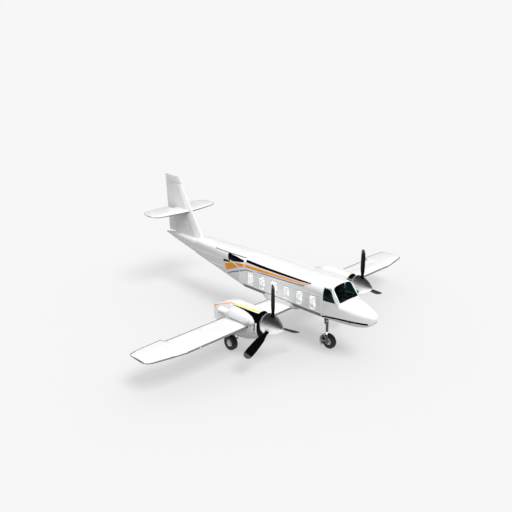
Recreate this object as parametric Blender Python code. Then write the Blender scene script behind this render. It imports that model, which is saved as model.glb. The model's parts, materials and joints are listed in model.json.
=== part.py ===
"""Twin turboprop commuter airliner, standing on its gear.

Metres. The nose points towards -Y, the port side is +X and up is +Z. The ground is Z = 0, and the
origin lies on it, on the centreline, halfway between the nose tip and the tail tip.
"""
import math

import bmesh
import bpy
import numpy as np
from mathutils import Vector

# Clearances. Touching pieces keep GAP between them, and moving ones SWING_GAP or more. Cutting tools reach
# OVERRUN past the piece they cut.
GAP = 0.0003
SWING_GAP = 0.008
OVERRUN = 0.05
PIN_RADIUS = 0.012
PIN_SIDES = 16
PIN_ROOT = 0.05
PIN_BITE = 0.009

SHARP_ANGLE = math.radians(32)

# Fuselage
NOSE_Y = -6.86
TAIL_Y = 6.86
NOSE_JOINT_Y = -5.46
COCKPIT_JOINT_Y = -4.617
CABIN_JOINT_Y = 0.32
CONE_JOINT_Y = 3.90
HALF_WIDTH = 0.817
BELLY_Z = 1.777
CHINE_Z = 1.929
CROWN_Z = 3.262
WALL = 0.03
TAIL_CAVITY_Y = CONE_JOINT_Y - WALL
CONE_CAVITY_Y = 6.30

# Windshield: a flat sloping plane, from its foot to its head, on the centreline
SCREEN_FOOT = (-5.457, 2.592)
SCREEN_HEAD = (-4.990, 3.219)
POST_HALF = 0.014
GLASS_INSET = 0.009
GLASS_THICK = 0.012

# Cabin windows, six a side, and the airstair door on the port side behind them
WINDOW_PITCH = 0.7486
WINDOW_AFT_Y = -0.422
WINDOW_COUNT = 6
WINDOW_SIZE = (0.36, 0.60)
WINDOW_Z = 2.3275
WINDOW_CORNER = 0.12
DOOR_Y = (0.44, 1.08)
DOOR_Z = (2.10, 3.02)
DOOR_CORNERS = (0.08, 0.02)
DOOR_GAP = 0.012
DOOR_HINGE_INSET = 0.012
DOOR_PIN_RADIUS = 0.008
STEP_COUNT = 3
STEP_FIRST = 0.14
STEP_RISE = 0.26
STEP_X = (0.64, 0.75)
FLOOR_Z = 1.95
FLOOR_THICK = 0.03
DECK_Z = FLOOR_Z + FLOOR_THICK
ENTRY_Z = 2.06
ENTRY_HALF = 0.60
BEAM_X = 0.25
BEAM_HALF = 0.02

# Wing: straight from the root to the aileron's outer end, then a tapered tip
WING_Z = 1.634
WING_LE_Y = -2.926
WING_TE_Y = -1.510
WING_TIP_START_X = 6.60
TIP_TE_Y = -1.300
HALF_SPAN = 8.19
CONSTANT_PROFILE_X = 3.54
FLAP_HINGE_Y = -1.875
INBOARD_FLAP_X = (0.93, 2.46)
OUTBOARD_FLAP_X = (3.55, 4.94)
AILERON_X = (4.98, 6.50)

# Powerplants
ENGINE_X = 2.94
HUB_Z = 1.917
PROP_Y = -3.914
PROP_RADIUS = 1.767
BLADE_COUNT = 3
BLADE_PITCH = math.radians(68)
SPINNER_TIP_Y = -4.507
SPINNER_BASE_Y = -3.64
SPINNER_RADIUS = 0.437
BACKPLATE_THICK = 0.05
BLADE_ROOT = 0.15
BOSS_RADIUS = 0.13
COWL_FRONT_Y = -3.40
COWL_REAR_Y = -3.30
NACELLE_AFT_Y = -0.335
ENGINE_SIZE = (0.40, 0.98, 0.39)
ENGINE_BOTTOM_Z = 1.762

# Tail
FIN_FOOT = (3.905, 3.15)
FIN_SLOPE = 0.631
FIN_TOP_Z = 5.585
FIN_RATIO = 0.075
FIN_WALL = 0.02
FIN_CAVITY_TOP_Z = 4.12
FIN_CAVITY_SHARES = (0.08, 0.2, 0.4, 0.68)
TAIL_TOP_Z = 5.97
RUDDER_HINGE = (5.96, 3.00)
RUDDER_LEAN = 0.0814
RUDDER_FOOT_Z = 2.985
TAILPLANE_Z = 4.275
TAILPLANE_HALF = 2.03
ELEVATOR_HINGE_Y = 5.89
ELEVATOR_X = (0.31, 1.72)

# Landing gear
TYRE_RADIUS = 0.34
WHEEL_SEGMENTS = 32
HUB_RADIUS = 0.16
HUB_SHARE = 0.80
MAIN_WHEEL = (3.10, -1.55)
MAIN_LEG_X = 2.86
LEG_TOP_Z = 1.20
LEG_RADIUS = 0.075
NOSE_WHEEL = (0.03, -4.46)
NOSE_LEG_X = -0.15
STEER_Z = 1.15


def clear_scene():
    for item in list(bpy.data.objects):
        bpy.data.objects.remove(item, do_unlink=True)


def material(name, colour, metallic=0.0, roughness=0.4, alpha=1.0):
    made = bpy.data.materials.get(name)
    if made is None:
        made = bpy.data.materials.new(name)
        made.use_nodes = True
        shader = made.node_tree.nodes["Principled BSDF"]
        shader.inputs["Base Color"].default_value = (*colour, 1.0)
        shader.inputs["Metallic"].default_value = metallic
        shader.inputs["Roughness"].default_value = roughness
        shader.inputs["Alpha"].default_value = alpha
    return made


def white_paint():
    return material("white_paint", (0.86, 0.87, 0.88), roughness=0.3)


def black_paint():
    return material("black_paint", (0.02, 0.02, 0.022), roughness=0.4)


def steel():
    return material("steel", (0.55, 0.55, 0.57), metallic=1.0, roughness=0.3)


def dark_glass():
    return material("dark_glass", (0.03, 0.08, 0.09), roughness=0.05, alpha=0.5)


def seat_cloth():
    return material("seat_cloth", (0.55, 0.57, 0.58), roughness=0.9)


def build_mesh(name, points, faces, mat):
    """Make an object from points and faces, its faces turned outwards."""
    mesh = bpy.data.meshes.new(name)
    mesh.from_pydata([tuple(p) for p in points], [], faces)
    work = bmesh.new()
    work.from_mesh(mesh)
    bmesh.ops.recalc_face_normals(work, faces=work.faces)
    work.to_mesh(mesh)
    work.free()
    mesh.shade_smooth()
    mesh.set_sharp_from_angle(angle=SHARP_ANGLE)
    mesh.materials.append(mat)
    made = bpy.data.objects.new(name, mesh)
    bpy.context.scene.collection.objects.link(made)
    return made


def loft(name, rings, mat):
    """Skin a row of rings with the same number of points, and cap both ends."""
    count = len(rings[0])
    points = [p for ring in rings for p in ring]
    faces = []
    for row in range(len(rings) - 1):
        for i in range(count):
            here, beside = row * count + i, row * count + (i + 1) % count
            faces.append((here, beside, beside + count, here + count))
    faces.append(tuple(reversed(range(count))))
    faces.append(tuple(range((len(rings) - 1) * count, len(rings) * count)))
    return build_mesh(name, points, faces, mat)


def prism(name, outline, depth, place, mat):
    """Extrude a flat outline. place turns (u, v, w) into a point, w running from depth[0] to depth[1]."""
    rings = [[place(u, v, w) for u, v in outline] for w in depth]
    return loft(name, rings, mat)


def level(u, v, w):
    """Placer for an outline that lies flat and is extruded upwards."""
    return (u, v, w)


def box(name, low, high, mat):
    corners = [(low[0], low[1]), (high[0], low[1]), (high[0], high[1]), (low[0], high[1])]
    return prism(name, corners, (low[2], high[2]), level, mat)


def turned(name, profile, centre, axis, mat, segments=WHEEL_SEGMENTS, half_step=False):
    """Turn a profile of (distance along the axis, radius) pairs, ends capped flat."""
    axis = Vector(axis).normalized()
    side = axis.orthogonal().normalized() if abs(axis.z) > 0.9 else Vector((0, 0, 1)).cross(axis).normalized()
    up = axis.cross(side)
    shift = 0.5 if half_step else 0.0
    rings = []
    for along, radius in profile:
        ring = []
        for i in range(segments):
            turn = 2 * math.pi * (i + shift) / segments
            spoke = side * math.sin(turn) + up * math.cos(turn)
            ring.append(Vector(centre) + axis * along + spoke * radius)
        rings.append(ring)
    return loft(name, rings, mat)


def rod(name, start, end, radius, mat, segments=20):
    run = Vector(end) - Vector(start)
    return turned(name, [(0, radius), (run.length, radius)], start, run, mat, segments)


def hide(cutter):
    cutter.hide_render = True
    cutter.display_type = "WIRE"
    return cutter


def boolean(target, tool, operation, solver="EXACT"):
    change = target.modifiers.new(operation.lower(), "BOOLEAN")
    change.operation = operation
    change.object = hide(tool)
    change.solver = solver
    return target


def cut(target, tool, solver="EXACT"):
    return boolean(target, tool, "DIFFERENCE", solver)


def join(target, tool):
    return boolean(target, tool, "UNION")


def keep_inside(target, tool):
    return boolean(target, tool, "INTERSECT")


def rounded_rectangle(width, height, radius, foot_radius=None, steps=4):
    """Outline of a rectangle with round corners, centred on the origin. Its two lower corners may differ."""
    outline = []
    lower = radius if foot_radius is None else foot_radius
    for corner, (sx, sy) in enumerate([(1, 1), (-1, 1), (-1, -1), (1, -1)]):
        round_off = radius if sy > 0 else lower
        for k in range(steps + 1):
            turn = math.pi / 2 * (corner + k / steps)
            outline.append((sx * (width / 2 - round_off) + round_off * math.cos(turn),
                            sy * (height / 2 - round_off) + round_off * math.sin(turn)))
    return outline


def shrink(outline, amount):
    """Move each corner of a convex outline inwards by the amount, measured square to its sides."""
    count = len(outline)
    area = sum(outline[i][0] * outline[(i + 1) % count][1] - outline[(i + 1) % count][0] * outline[i][1]
               for i in range(count))
    sign = 1 if area > 0 else -1
    moved = []
    for i in range(count):
        here = Vector(outline[i])
        before = (here - Vector(outline[i - 1])).normalized()
        after = (Vector(outline[(i + 1) % count]) - here).normalized()
        n1 = Vector((-before.y, before.x)) * sign
        n2 = Vector((-after.y, after.x)) * sign
        middle = (n1 + n2).normalized()
        moved.append(tuple(here + middle * amount / max(middle.dot(n1), 0.2)))
    return moved


# Fuselage sections: station, half width, belly, chine (foot of the flat side), shoulder, crown
SECTIONS = [
    (NOSE_Y, 0.05, 2.12, 2.15, 2.17, 2.20),
    (-6.82, 0.15, 2.01, 2.08, 2.18, 2.27),
    (-6.70, 0.26, 1.88, 1.99, 2.18, 2.35),
    (-6.50, 0.38, 1.81, 1.94, 2.19, 2.42),
    (-6.19, 0.51, BELLY_Z, 1.92, 2.22, 2.50),
    (-5.87, 0.61, BELLY_Z, 1.92, 2.27, 2.575),
    (NOSE_JOINT_Y, 0.70, BELLY_Z, CHINE_Z, 2.36, 2.64),
    (-5.42, 0.707, BELLY_Z, CHINE_Z, 2.55, 2.95),
    (-5.25, 0.733, BELLY_Z, CHINE_Z, 2.72, 3.20),
    (-4.99, 0.77, BELLY_Z, CHINE_Z, 2.80, 3.245),
    (COCKPIT_JOINT_Y, 0.80, BELLY_Z, CHINE_Z, 2.84, 3.258),
    (-3.90, HALF_WIDTH, BELLY_Z, CHINE_Z, 2.85, CROWN_Z),
    (0.05, HALF_WIDTH, BELLY_Z, CHINE_Z, 2.85, CROWN_Z),
    (CABIN_JOINT_Y, HALF_WIDTH, 1.85, 1.96, 2.85, CROWN_Z),
    (CONE_JOINT_Y, 0.47, 2.37, 2.43, 2.86, 3.165),
]

# The tail cone is lower than the cabin roof, so that it leaves a ledge on both sides of the fin
CONE_SECTIONS = [
    (CONE_JOINT_Y, 0.45, 2.385, 2.44, 2.80, 3.03),
    (5.40, 0.27, 2.585, 2.63, 2.84, 2.975),
    (6.30, 0.14, 2.705, 2.73, 2.81, 2.895),
    (TAIL_Y, 0.04, 2.775, 2.785, 2.80, 2.83),
]

BELLY_FLAT = 0.92
SHOULDER_POWER = 2.6
SHOULDER_STEPS = 8


def section(table, y, grow=0.0):
    """One ring of the fuselage at a station, moved outwards by grow."""
    stations = [row[0] for row in table]
    half, belly, chine, shoulder, crown = (
        float(np.interp(y, stations, [row[k] for row in table])) for k in range(1, 6))
    half_out, belly_out, crown_out = half + grow, belly - grow, crown + grow
    flat = half * BELLY_FLAT + grow * 0.4
    chine_out = chine - grow * 0.4
    right = [(flat, belly_out), (half_out, chine_out)]
    for k in range(SHOULDER_STEPS):
        turn = math.pi / 2 * k / SHOULDER_STEPS
        right.append((half_out * math.cos(turn) ** (2 / SHOULDER_POWER),
                      shoulder + (crown_out - shoulder) * math.sin(turn) ** (2 / SHOULDER_POWER)))
    left = [(-x, z) for x, z in reversed(right)]
    return [(x, y, z) for x, z in right + [(0.0, crown_out)] + left]


def fuselage_body(name, start, end, grow, mat, table=SECTIONS):
    """Solid stretch of the fuselage between two stations."""
    inner = [row[0] for row in table if start + 1e-6 < row[0] < end - 1e-6]
    return loft(name, [section(table, y, grow) for y in [start] + inner + [end]], mat)


def screen_frame():
    """Foot point, slope and outward normal of the windshield plane."""
    foot = Vector((0, *SCREEN_FOOT))
    slope = (Vector((0, *SCREEN_HEAD)) - foot)
    length = slope.length
    slope.normalize()
    normal = Vector((0, -slope.z, slope.y))
    return foot, slope, normal, length


def on_screen(u, v, w):
    """Point on the windshield plane: u across, v up the slope, w outwards."""
    foot, slope, normal, _ = screen_frame()
    return foot + Vector((u, 0, 0)) + slope * v + normal * w


def above_screen(name, depth):
    """Block of air in front of the windshield plane, starting at a depth along its normal."""
    outline = [(-1.2, -0.02), (1.2, -0.02), (1.2, 1.2), (-1.2, 1.2)]
    return prism(name, outline, (depth, depth + 1.0), on_screen, white_paint())


def through_side(sides):
    """Return a placer that lays an outline (u along Y, v up) and pushes it through the given sides."""
    return lambda u, v, w: (w * sides, u, v)


def pane_outline(side):
    """One windshield pane, from the centre post to the corner post."""
    pane = [(POST_HALF, 0.025), (0.60, 0.025), (0.56, 0.655), (0.485, 0.708), (0.30, 0.745),
            (POST_HALF, 0.758)]
    return [(side * u, v) for u, v in pane]


SIDE_PANE = [(-4.70, 2.585), (-4.70, 3.13), (-4.99, 3.13), (-5.06, 3.08), (-5.285, 2.625), (-5.25, 2.595)]
SHELL_SPAN = (0.55, 1.2)


def nose_cone():
    return fuselage_body("nose_cone", NOSE_Y, NOSE_JOINT_Y - GAP, 0.0, white_paint())


def cockpit_shell():
    shell = fuselage_body("cockpit_shell", NOSE_JOINT_Y, COCKPIT_JOINT_Y, 0.0, white_paint())
    cut(shell, above_screen("screen_face_tool", 0.0))
    cavity = fuselage_body("cockpit_cavity_tool", NOSE_JOINT_Y + WALL, COCKPIT_JOINT_Y + OVERRUN, -WALL,
                           white_paint())
    cut(cavity, above_screen("screen_back_tool", -WALL))
    cut(shell, cavity)
    for side, label in ((1, "port"), (-1, "starboard")):
        cut(shell, prism("screen_hole_" + label, pane_outline(side), (-0.2, 0.2), on_screen, white_paint()))
        cut(shell, prism("side_hole_" + label, SIDE_PANE, SHELL_SPAN, through_side(side), white_paint()))
    return shell


def windshield_panes():
    for side, label in ((1, "port"), (-1, "starboard")):
        outline = shrink(pane_outline(side), GAP)
        prism("windshield_" + label, outline, (-GLASS_INSET - GLASS_THICK, -GLASS_INSET), on_screen,
              dark_glass())


def shell_patch(name, outline, side, outer, inner, mat):
    """Piece of curved skin between two offsets of the fuselage, cut to an outline seen from the side."""
    ys = [u for u, _ in outline]
    start, end = min(ys) - OVERRUN, max(ys) + OVERRUN
    patch = fuselage_body(name, start, end, outer, mat)
    cut(patch, fuselage_body(name + "_back_tool", start - OVERRUN, end + OVERRUN, inner, mat))
    return keep_inside(patch, prism(name + "_edge_tool", outline, SHELL_SPAN, through_side(side), mat))


def cockpit_side_glass():
    for side, label in ((1, "port"), (-1, "starboard")):
        outline = shrink(SIDE_PANE, GAP)
        shell_patch("cockpit_glass_" + label, outline, side, -GLASS_INSET, -GLASS_INSET - GLASS_THICK,
                    dark_glass())


def window_centres():
    return [WINDOW_AFT_Y - WINDOW_PITCH * k for k in range(WINDOW_COUNT)]


def cabin_shell():
    shell = fuselage_body("cabin_shell", COCKPIT_JOINT_Y + GAP, CABIN_JOINT_Y - GAP, 0.0, white_paint())
    cut(shell, fuselage_body("cabin_cavity_tool", COCKPIT_JOINT_Y - OVERRUN, CABIN_JOINT_Y + OVERRUN, -WALL,
                             white_paint()))
    for k, y in enumerate(window_centres()):
        outline = [(y + u, WINDOW_Z + v) for u, v in rounded_rectangle(*WINDOW_SIZE, WINDOW_CORNER)]
        cut(shell, prism("window_tool_%d" % k, outline, (-1.0, 1.0), through_side(1), white_paint()))
    return shell


def door_outline(grow=0.0):
    width, height = DOOR_Y[1] - DOOR_Y[0] + 2 * grow, DOOR_Z[1] - DOOR_Z[0] + 2 * grow
    middle = (sum(DOOR_Y) / 2, sum(DOOR_Z) / 2)
    return [(middle[0] + u, middle[1] + v) for u, v in rounded_rectangle(width, height, *DOOR_CORNERS)]


def tail_shell():
    shell = fuselage_body("tail_shell", CABIN_JOINT_Y, CONE_JOINT_Y - GAP, 0.0, white_paint())
    cut(shell, fuselage_body("tail_cavity_tool", CABIN_JOINT_Y - OVERRUN, TAIL_CAVITY_Y, -WALL,
                             white_paint()))
    cut(shell, prism("door_hole_tool", door_outline(DOOR_GAP), (0.4, 1.2), through_side(1), white_paint()))
    return cut(shell, door_pin("door_socket_tool", GAP))


def door_axis():
    """Ends of the airstair's hinge pin: along its lower edge, in the skin, parallel to the tapering wall."""
    wide, narrow = SECTIONS[-2], SECTIONS[-1]
    taper = (narrow[1] - wide[1]) / (narrow[0] - wide[0])
    reach = DOOR_GAP + PIN_BITE
    return [Vector((wide[1] + taper * (y - wide[0]) - DOOR_HINGE_INSET, y, DOOR_Z[0] + DOOR_HINGE_INSET))
            for y in (DOOR_Y[0] - reach, DOOR_Y[1] + reach)]


def door_pin(name, grow=0.0):
    front, aft = door_axis()
    way = (aft - front).normalized()
    return rod(name, front - way * grow, aft + way * grow, DOOR_PIN_RADIUS + grow, white_paint(), PIN_SIDES)


def airstair_door():
    """Door with its steps on the inner face. It swings down and out about its lower edge."""
    door = shell_patch("airstair_door", door_outline(), 1, 0.0, -WALL, white_paint())
    join(door, door_pin("door_pin_tool"))
    for k in range(STEP_COUNT):
        z = DOOR_Z[0] + STEP_FIRST + STEP_RISE * k
        join(door, box("step_tool_%d" % k, (STEP_X[0], DOOR_Y[0] + 0.10, z),
                       (STEP_X[1], DOOR_Y[1] - 0.12, z + 0.03), white_paint()))
    return door


def tail_cone():
    cone = fuselage_body("tail_cone", CONE_JOINT_Y, TAIL_Y, 0.0, white_paint(), CONE_SECTIONS)
    cut(cone, fuselage_body("cone_cavity_tool", CONE_JOINT_Y - OVERRUN, CONE_CAVITY_Y, -WALL, white_paint(),
                            CONE_SECTIONS))
    return cut(cone, rudder_pin("rudder_socket_tool", GAP))


def cabin_floor():
    """Floor from the cockpit to the rear of the cabin, with a raised entry behind it at the door sill."""
    half, front_half = HALF_WIDTH - WALL - 0.01, SECTIONS[6][1] - WALL - 0.01
    front, aft = NOSE_JOINT_Y + 0.05, CABIN_JOINT_Y - 0.04
    outline = [(-front_half, front), (front_half, front), (half, -3.9), (half, 0.0), (half - 0.05, aft),
               (0.05 - half, aft), (-half, 0.0), (-half, -3.9)]
    floor = prism("cabin_floor", outline, (FLOOR_Z, DECK_Z), level, white_paint())
    for x in (-BEAM_X, BEAM_X):
        join(floor, box("floor_beam_tool_%+.2f" % x, (x - BEAM_HALF, -5.2, BELLY_Z + WALL + GAP),
                        (x + BEAM_HALF, 0.0, DECK_Z - 0.01), white_paint()))
    join(floor, box("entry_riser_tool", (-ENTRY_HALF, aft - 0.04, FLOOR_Z + 0.01),
                    (ENTRY_HALF, aft - 0.005, ENTRY_Z), white_paint()))
    join(floor, box("entry_floor_tool", (-ENTRY_HALF, aft - 0.03, ENTRY_Z - FLOOR_THICK),
                    (ENTRY_HALF, DOOR_Y[1] + 0.04, ENTRY_Z - 0.001), white_paint()))
    return floor


def seat(name, x, back_y, width, mat, deck):
    """One seat facing forward: pedestal, cushion, back and headrest in one solid."""
    low, high = x - width / 2, x + width / 2
    made = box(name, (low, back_y - 0.42, deck + 0.26), (high, back_y + 0.02, deck + 0.38), mat)
    join(made, box(name + "_back_tool", (low, back_y - 0.06, deck + 0.30), (high, back_y + 0.05, deck + 0.82),
                   mat))
    join(made, box(name + "_head_tool", (low + 0.06, back_y - 0.04, deck + 0.80),
                   (high - 0.06, back_y + 0.04, deck + 0.98), mat))
    join(made, box(name + "_foot_tool", (x - 0.12, back_y - 0.32, deck + GAP),
                   (x + 0.12, back_y - 0.06, deck + 0.28), mat))
    return made


SEAT_BACK_OFFSET = -0.10
SEAT_X = 0.50
SEAT_WIDTH = 0.42
PILOT_X = 0.32
PILOT_BACK_Y = -4.82


def cabin_seats():
    """A row of single seats on each side of the aisle, tied together by a seat rail."""
    for side, label in ((1, "port"), (-1, "starboard")):
        x = side * SEAT_X
        rail = box("seats_" + label, (x - 0.03, window_centres()[-1] + SEAT_BACK_OFFSET - 0.40, DECK_Z + GAP),
                   (x + 0.03, window_centres()[0] + SEAT_BACK_OFFSET + 0.1, DECK_Z + 0.03), seat_cloth())
        for k, y in enumerate(window_centres()):
            join(rail, seat("seat_tool_%s_%d" % (label, k), x, y + SEAT_BACK_OFFSET, SEAT_WIDTH, seat_cloth(),
                            DECK_Z))


def pilot_seats():
    for side, label in ((1, "port"), (-1, "starboard")):
        seat("pilot_seat_" + label, side * PILOT_X, PILOT_BACK_Y, SEAT_WIDTH, seat_cloth(), DECK_Z)


def instrument_panel():
    """Panel and its glare shield, from the floor to just under the windshield's foot."""
    mat = material("panel_grey", (0.05, 0.06, 0.065), roughness=0.7)
    panel = box("instrument_panel", (-0.60, NOSE_JOINT_Y + 0.06, 2.16), (0.60, -5.30, 2.50), mat)
    join(panel, box("panel_foot_tool", (-0.14, NOSE_JOINT_Y + 0.06, DECK_Z + GAP), (0.14, -5.24, 2.2), mat))
    join(panel, box("glare_tool", (-0.56, -5.40, 2.49), (0.56, -5.24, 2.53), mat))
    return panel


def profile_half(s, ratio):
    """Half thickness of the wing profile, as a share of the chord, at a share s of the chord."""
    bulge = 0.2969 * math.sqrt(s) - 0.1260 * s - 0.3516 * s ** 2 + 0.2843 * s ** 3 - 0.1036 * s ** 4
    return 5 * ratio * bulge


PROFILE_SHARES = (0.0, 0.012, 0.05, 0.12, 0.24, 0.40, 0.58, 0.76, 0.90, 1.0)
EDGE_HALF = 0.004


def profile_ring(lead, trail, ratio, place, grow=0.0, last=1.0):
    """Closed profile from the leading to the trailing edge, or cut off square at a share of the chord."""
    chord = trail - lead
    shares = [s * last for s in PROFILE_SHARES]
    half = [max(chord * profile_half(s, ratio), EDGE_HALF if s > 0.5 else 0.0) + grow for s in shares]
    half[0] = EDGE_HALF / 2 + grow
    upper = [(lead + chord * s, h) for s, h in zip(shares, half)]
    lower = [(c, -h) for c, h in reversed(upper)]
    ring = upper + lower
    if grow:
        edge = lead + chord * 0.01
        ring = [(c + (-grow if c < edge else grow if c > trail - 0.01 else 0.0), t) for c, t in ring]
    return [place(c, t) for c, t in ring]


WING_STATIONS = [
    (0.0, WING_LE_Y, WING_TE_Y, 0.148),
    (CONSTANT_PROFILE_X, WING_LE_Y, WING_TE_Y, 0.148),
    (WING_TIP_START_X - 0.08, WING_LE_Y, WING_TE_Y, 0.125),
    (WING_TIP_START_X, WING_LE_Y + 0.02, TIP_TE_Y, 0.110),
    (7.60, WING_LE_Y + 0.205, TIP_TE_Y - 0.045, 0.105),
    (8.02, WING_LE_Y + 0.33, TIP_TE_Y - 0.10, 0.10),
    (8.14, WING_LE_Y + 0.45, TIP_TE_Y - 0.19, 0.085),
    (HALF_SPAN, WING_LE_Y + 0.62, TIP_TE_Y - 0.33, 0.06),
]


def hinge_half(station_x):
    """Half thickness of the wing at the flap and aileron hinge line."""
    xs = [row[0] for row in WING_STATIONS]
    ratio = float(np.interp(station_x, xs, [row[3] for row in WING_STATIONS]))
    chord = WING_TE_Y - WING_LE_Y
    return chord * profile_half((FLAP_HINGE_Y - WING_LE_Y) / chord, ratio)


def wing_half(name, side, grow=0.0, reach=HALF_SPAN):
    rings = []
    for x, lead, trail, ratio in WING_STATIONS:
        if x > reach:
            break
        inset = max(x, GAP / 2 - grow)
        rings.append(profile_ring(lead, trail, ratio, lambda c, t, px=inset * side: (px, c, WING_Z + t),
                                  grow))
    return loft(name, rings, white_paint())


MOVING_SPANS = {"flap_inboard": INBOARD_FLAP_X, "flap_outboard": OUTBOARD_FLAP_X, "aileron": AILERON_X}


def hinge_pins(name, start, end, grow=0.0):
    """Two pins on one axis, reaching out past both ends of a hinged piece. A grown copy cuts the sockets."""
    start, end = Vector(start), Vector(end)
    way = (end - start).normalized()
    reach = SWING_GAP + PIN_BITE + grow
    pins = []
    for k, (base, out) in enumerate(((start, -way), (end, way))):
        pins.append(rod("%s_pin_%d" % (name, k), base - out * PIN_ROOT, base + out * reach, PIN_RADIUS + grow,
                        white_paint(), PIN_SIDES))
    return pins


def wings():
    for side, label in ((1, "port"), (-1, "starboard")):
        wing = wing_half("wing_" + label, side)
        for piece, (inner, outer) in MOVING_SPANS.items():
            cove = FLAP_HINGE_Y - hinge_half(inner) - SWING_GAP
            low_x, high_x = sorted((side * (inner - SWING_GAP), side * (outer + SWING_GAP)))
            bay = box("%s_bay_%s" % (piece, label), (low_x, cove, WING_Z - 0.4), (high_x, -1.0, WING_Z + 0.4),
                      white_paint())
            cut(wing, bay, "MANIFOLD")
            for pin in hinge_pins("%s_socket_%s" % (piece, label), (side * inner, FLAP_HINGE_Y, WING_Z),
                                  (side * outer, FLAP_HINGE_Y, WING_Z), GAP):
                cut(wing, pin, "MANIFOLD")


def surface_ring(radius, reach, place, steps=6):
    """Section of a hinged surface: round nose about the hinge, then flat sides to a thin trailing edge."""
    outline = []
    for k in range(steps + 1):
        turn = math.pi / 2 + math.pi * k / steps
        outline.append((radius * math.cos(turn), radius * math.sin(turn)))
    outline += [(reach, -EDGE_HALF), (reach, EDGE_HALF)]
    return [place(c, t) for c, t in outline]


def flaps_and_ailerons():
    reach = WING_TE_Y - FLAP_HINGE_Y
    for side, label in ((1, "port"), (-1, "starboard")):
        for piece, span in MOVING_SPANS.items():
            rings = [surface_ring(hinge_half(x), reach,
                                  lambda c, t, px=x * side: (px, FLAP_HINGE_Y + c, WING_Z + t)) for x in span]
            surface = loft("%s_%s" % (piece, label), rings, white_paint())
            for pin in hinge_pins("%s_%s" % (piece, label), (side * span[0], FLAP_HINGE_Y, WING_Z),
                                  (side * span[1], FLAP_HINGE_Y, WING_Z)):
                join(surface, pin)


FAIRING_SECTIONS = [
    (-3.34, 0.30, 1.72), (-3.20, 0.62, 1.60), (-2.95, 0.80, 1.50), (-2.60, 0.86, 1.46), (-1.80, 0.86, 1.46),
    (-1.35, 0.80, 1.50), (-1.00, 0.62, 1.60), (-0.80, 0.30, 1.72),
]
FAIRING_TOP_Z = 1.93


def belly_fairing():
    """Smooth pan under the cabin that covers the wing's passage."""
    rings = []
    for y, half, bottom in FAIRING_SECTIONS:
        top = BELLY_Z + (FAIRING_TOP_Z - BELLY_Z) * (half - 0.30) / 0.56
        rise = top - bottom
        right = [(half * 0.55, bottom), (half * 0.85, bottom + rise * 0.08), (half, bottom + rise * 0.35),
                 (half, top)]
        rings.append([(x, y, z) for x, z in right] + [(-x, y, z) for x, z in reversed(right)])
    fairing = loft("belly_fairing", rings, white_paint())
    cut(fairing, fuselage_body("fairing_cabin_tool", -4.0, 0.0, GAP, white_paint()))
    for side, label in ((1, "port"), (-1, "starboard")):
        cut(fairing, wing_half("fairing_wing_tool_" + label, side, GAP, CONSTANT_PROFILE_X))
    return fairing


# Nacelle sections: station, half width, bottom, top, and how square the ring is
NACELLE_SECTIONS = [
    (COWL_FRONT_Y, 0.37, 1.24, 2.27, 2.3),
    (-3.37, 0.40, 1.18, 2.31, 2.3),
    (COWL_REAR_Y, 0.42, 1.12, 2.33, 2.4),
    (-2.98, 0.44, 0.99, 2.36, 2.6),
    (-2.55, 0.45, 0.85, 2.365, 2.8),
    (-1.85, 0.45, 0.82, 2.36, 2.8),
    (-1.35, 0.41, 0.86, 2.22, 2.6),
    (-0.85, 0.26, 0.94, 1.97, 2.4),
    (-0.50, 0.10, 1.00, 1.80, 2.3),
    (NACELLE_AFT_Y, 0.03, 1.03, 1.73, 2.3),
]
NACELLE_POINTS = 28


def nacelle_ring(y, centre_x, grow=0.0):
    stations = [row[0] for row in NACELLE_SECTIONS]
    half, bottom, top, power = (
        float(np.interp(y, stations, [row[k] for row in NACELLE_SECTIONS])) for k in range(1, 5))
    middle, tall = (bottom + top) / 2, (top - bottom) / 2 + grow
    ring = []
    for i in range(NACELLE_POINTS):
        turn = 2 * math.pi * (i + 0.5) / NACELLE_POINTS
        across, up = math.cos(turn), math.sin(turn)
        ring.append((centre_x + (half + grow) * math.copysign(abs(across) ** (2 / power), across), y,
                     middle + tall * math.copysign(abs(up) ** (2 / power), up)))
    return ring


def nacelle_body(name, start, end, centre_x, grow, mat):
    inner = [row[0] for row in NACELLE_SECTIONS if start + 1e-6 < row[0] < end - 1e-6]
    return loft(name, [nacelle_ring(y, centre_x, grow) for y in [start] + inner + [end]], mat)


BARREL_X_OFFSET = 0.37
BARREL_Z = 1.95
BARREL_RADIUS = 0.235
BARREL_Y = (-3.30, -1.86)
PIPE_END = (-1.14, 1.83)
PIPE_RADIUS = 0.145
CAVITY_END_Y = -2.99
SHAFT_HOLE_RADIUS = 0.27
CHIN_Z = 1.43
CHIN_SIZE = (0.34, 0.17)
CHIN_CORNER = 0.07


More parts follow.
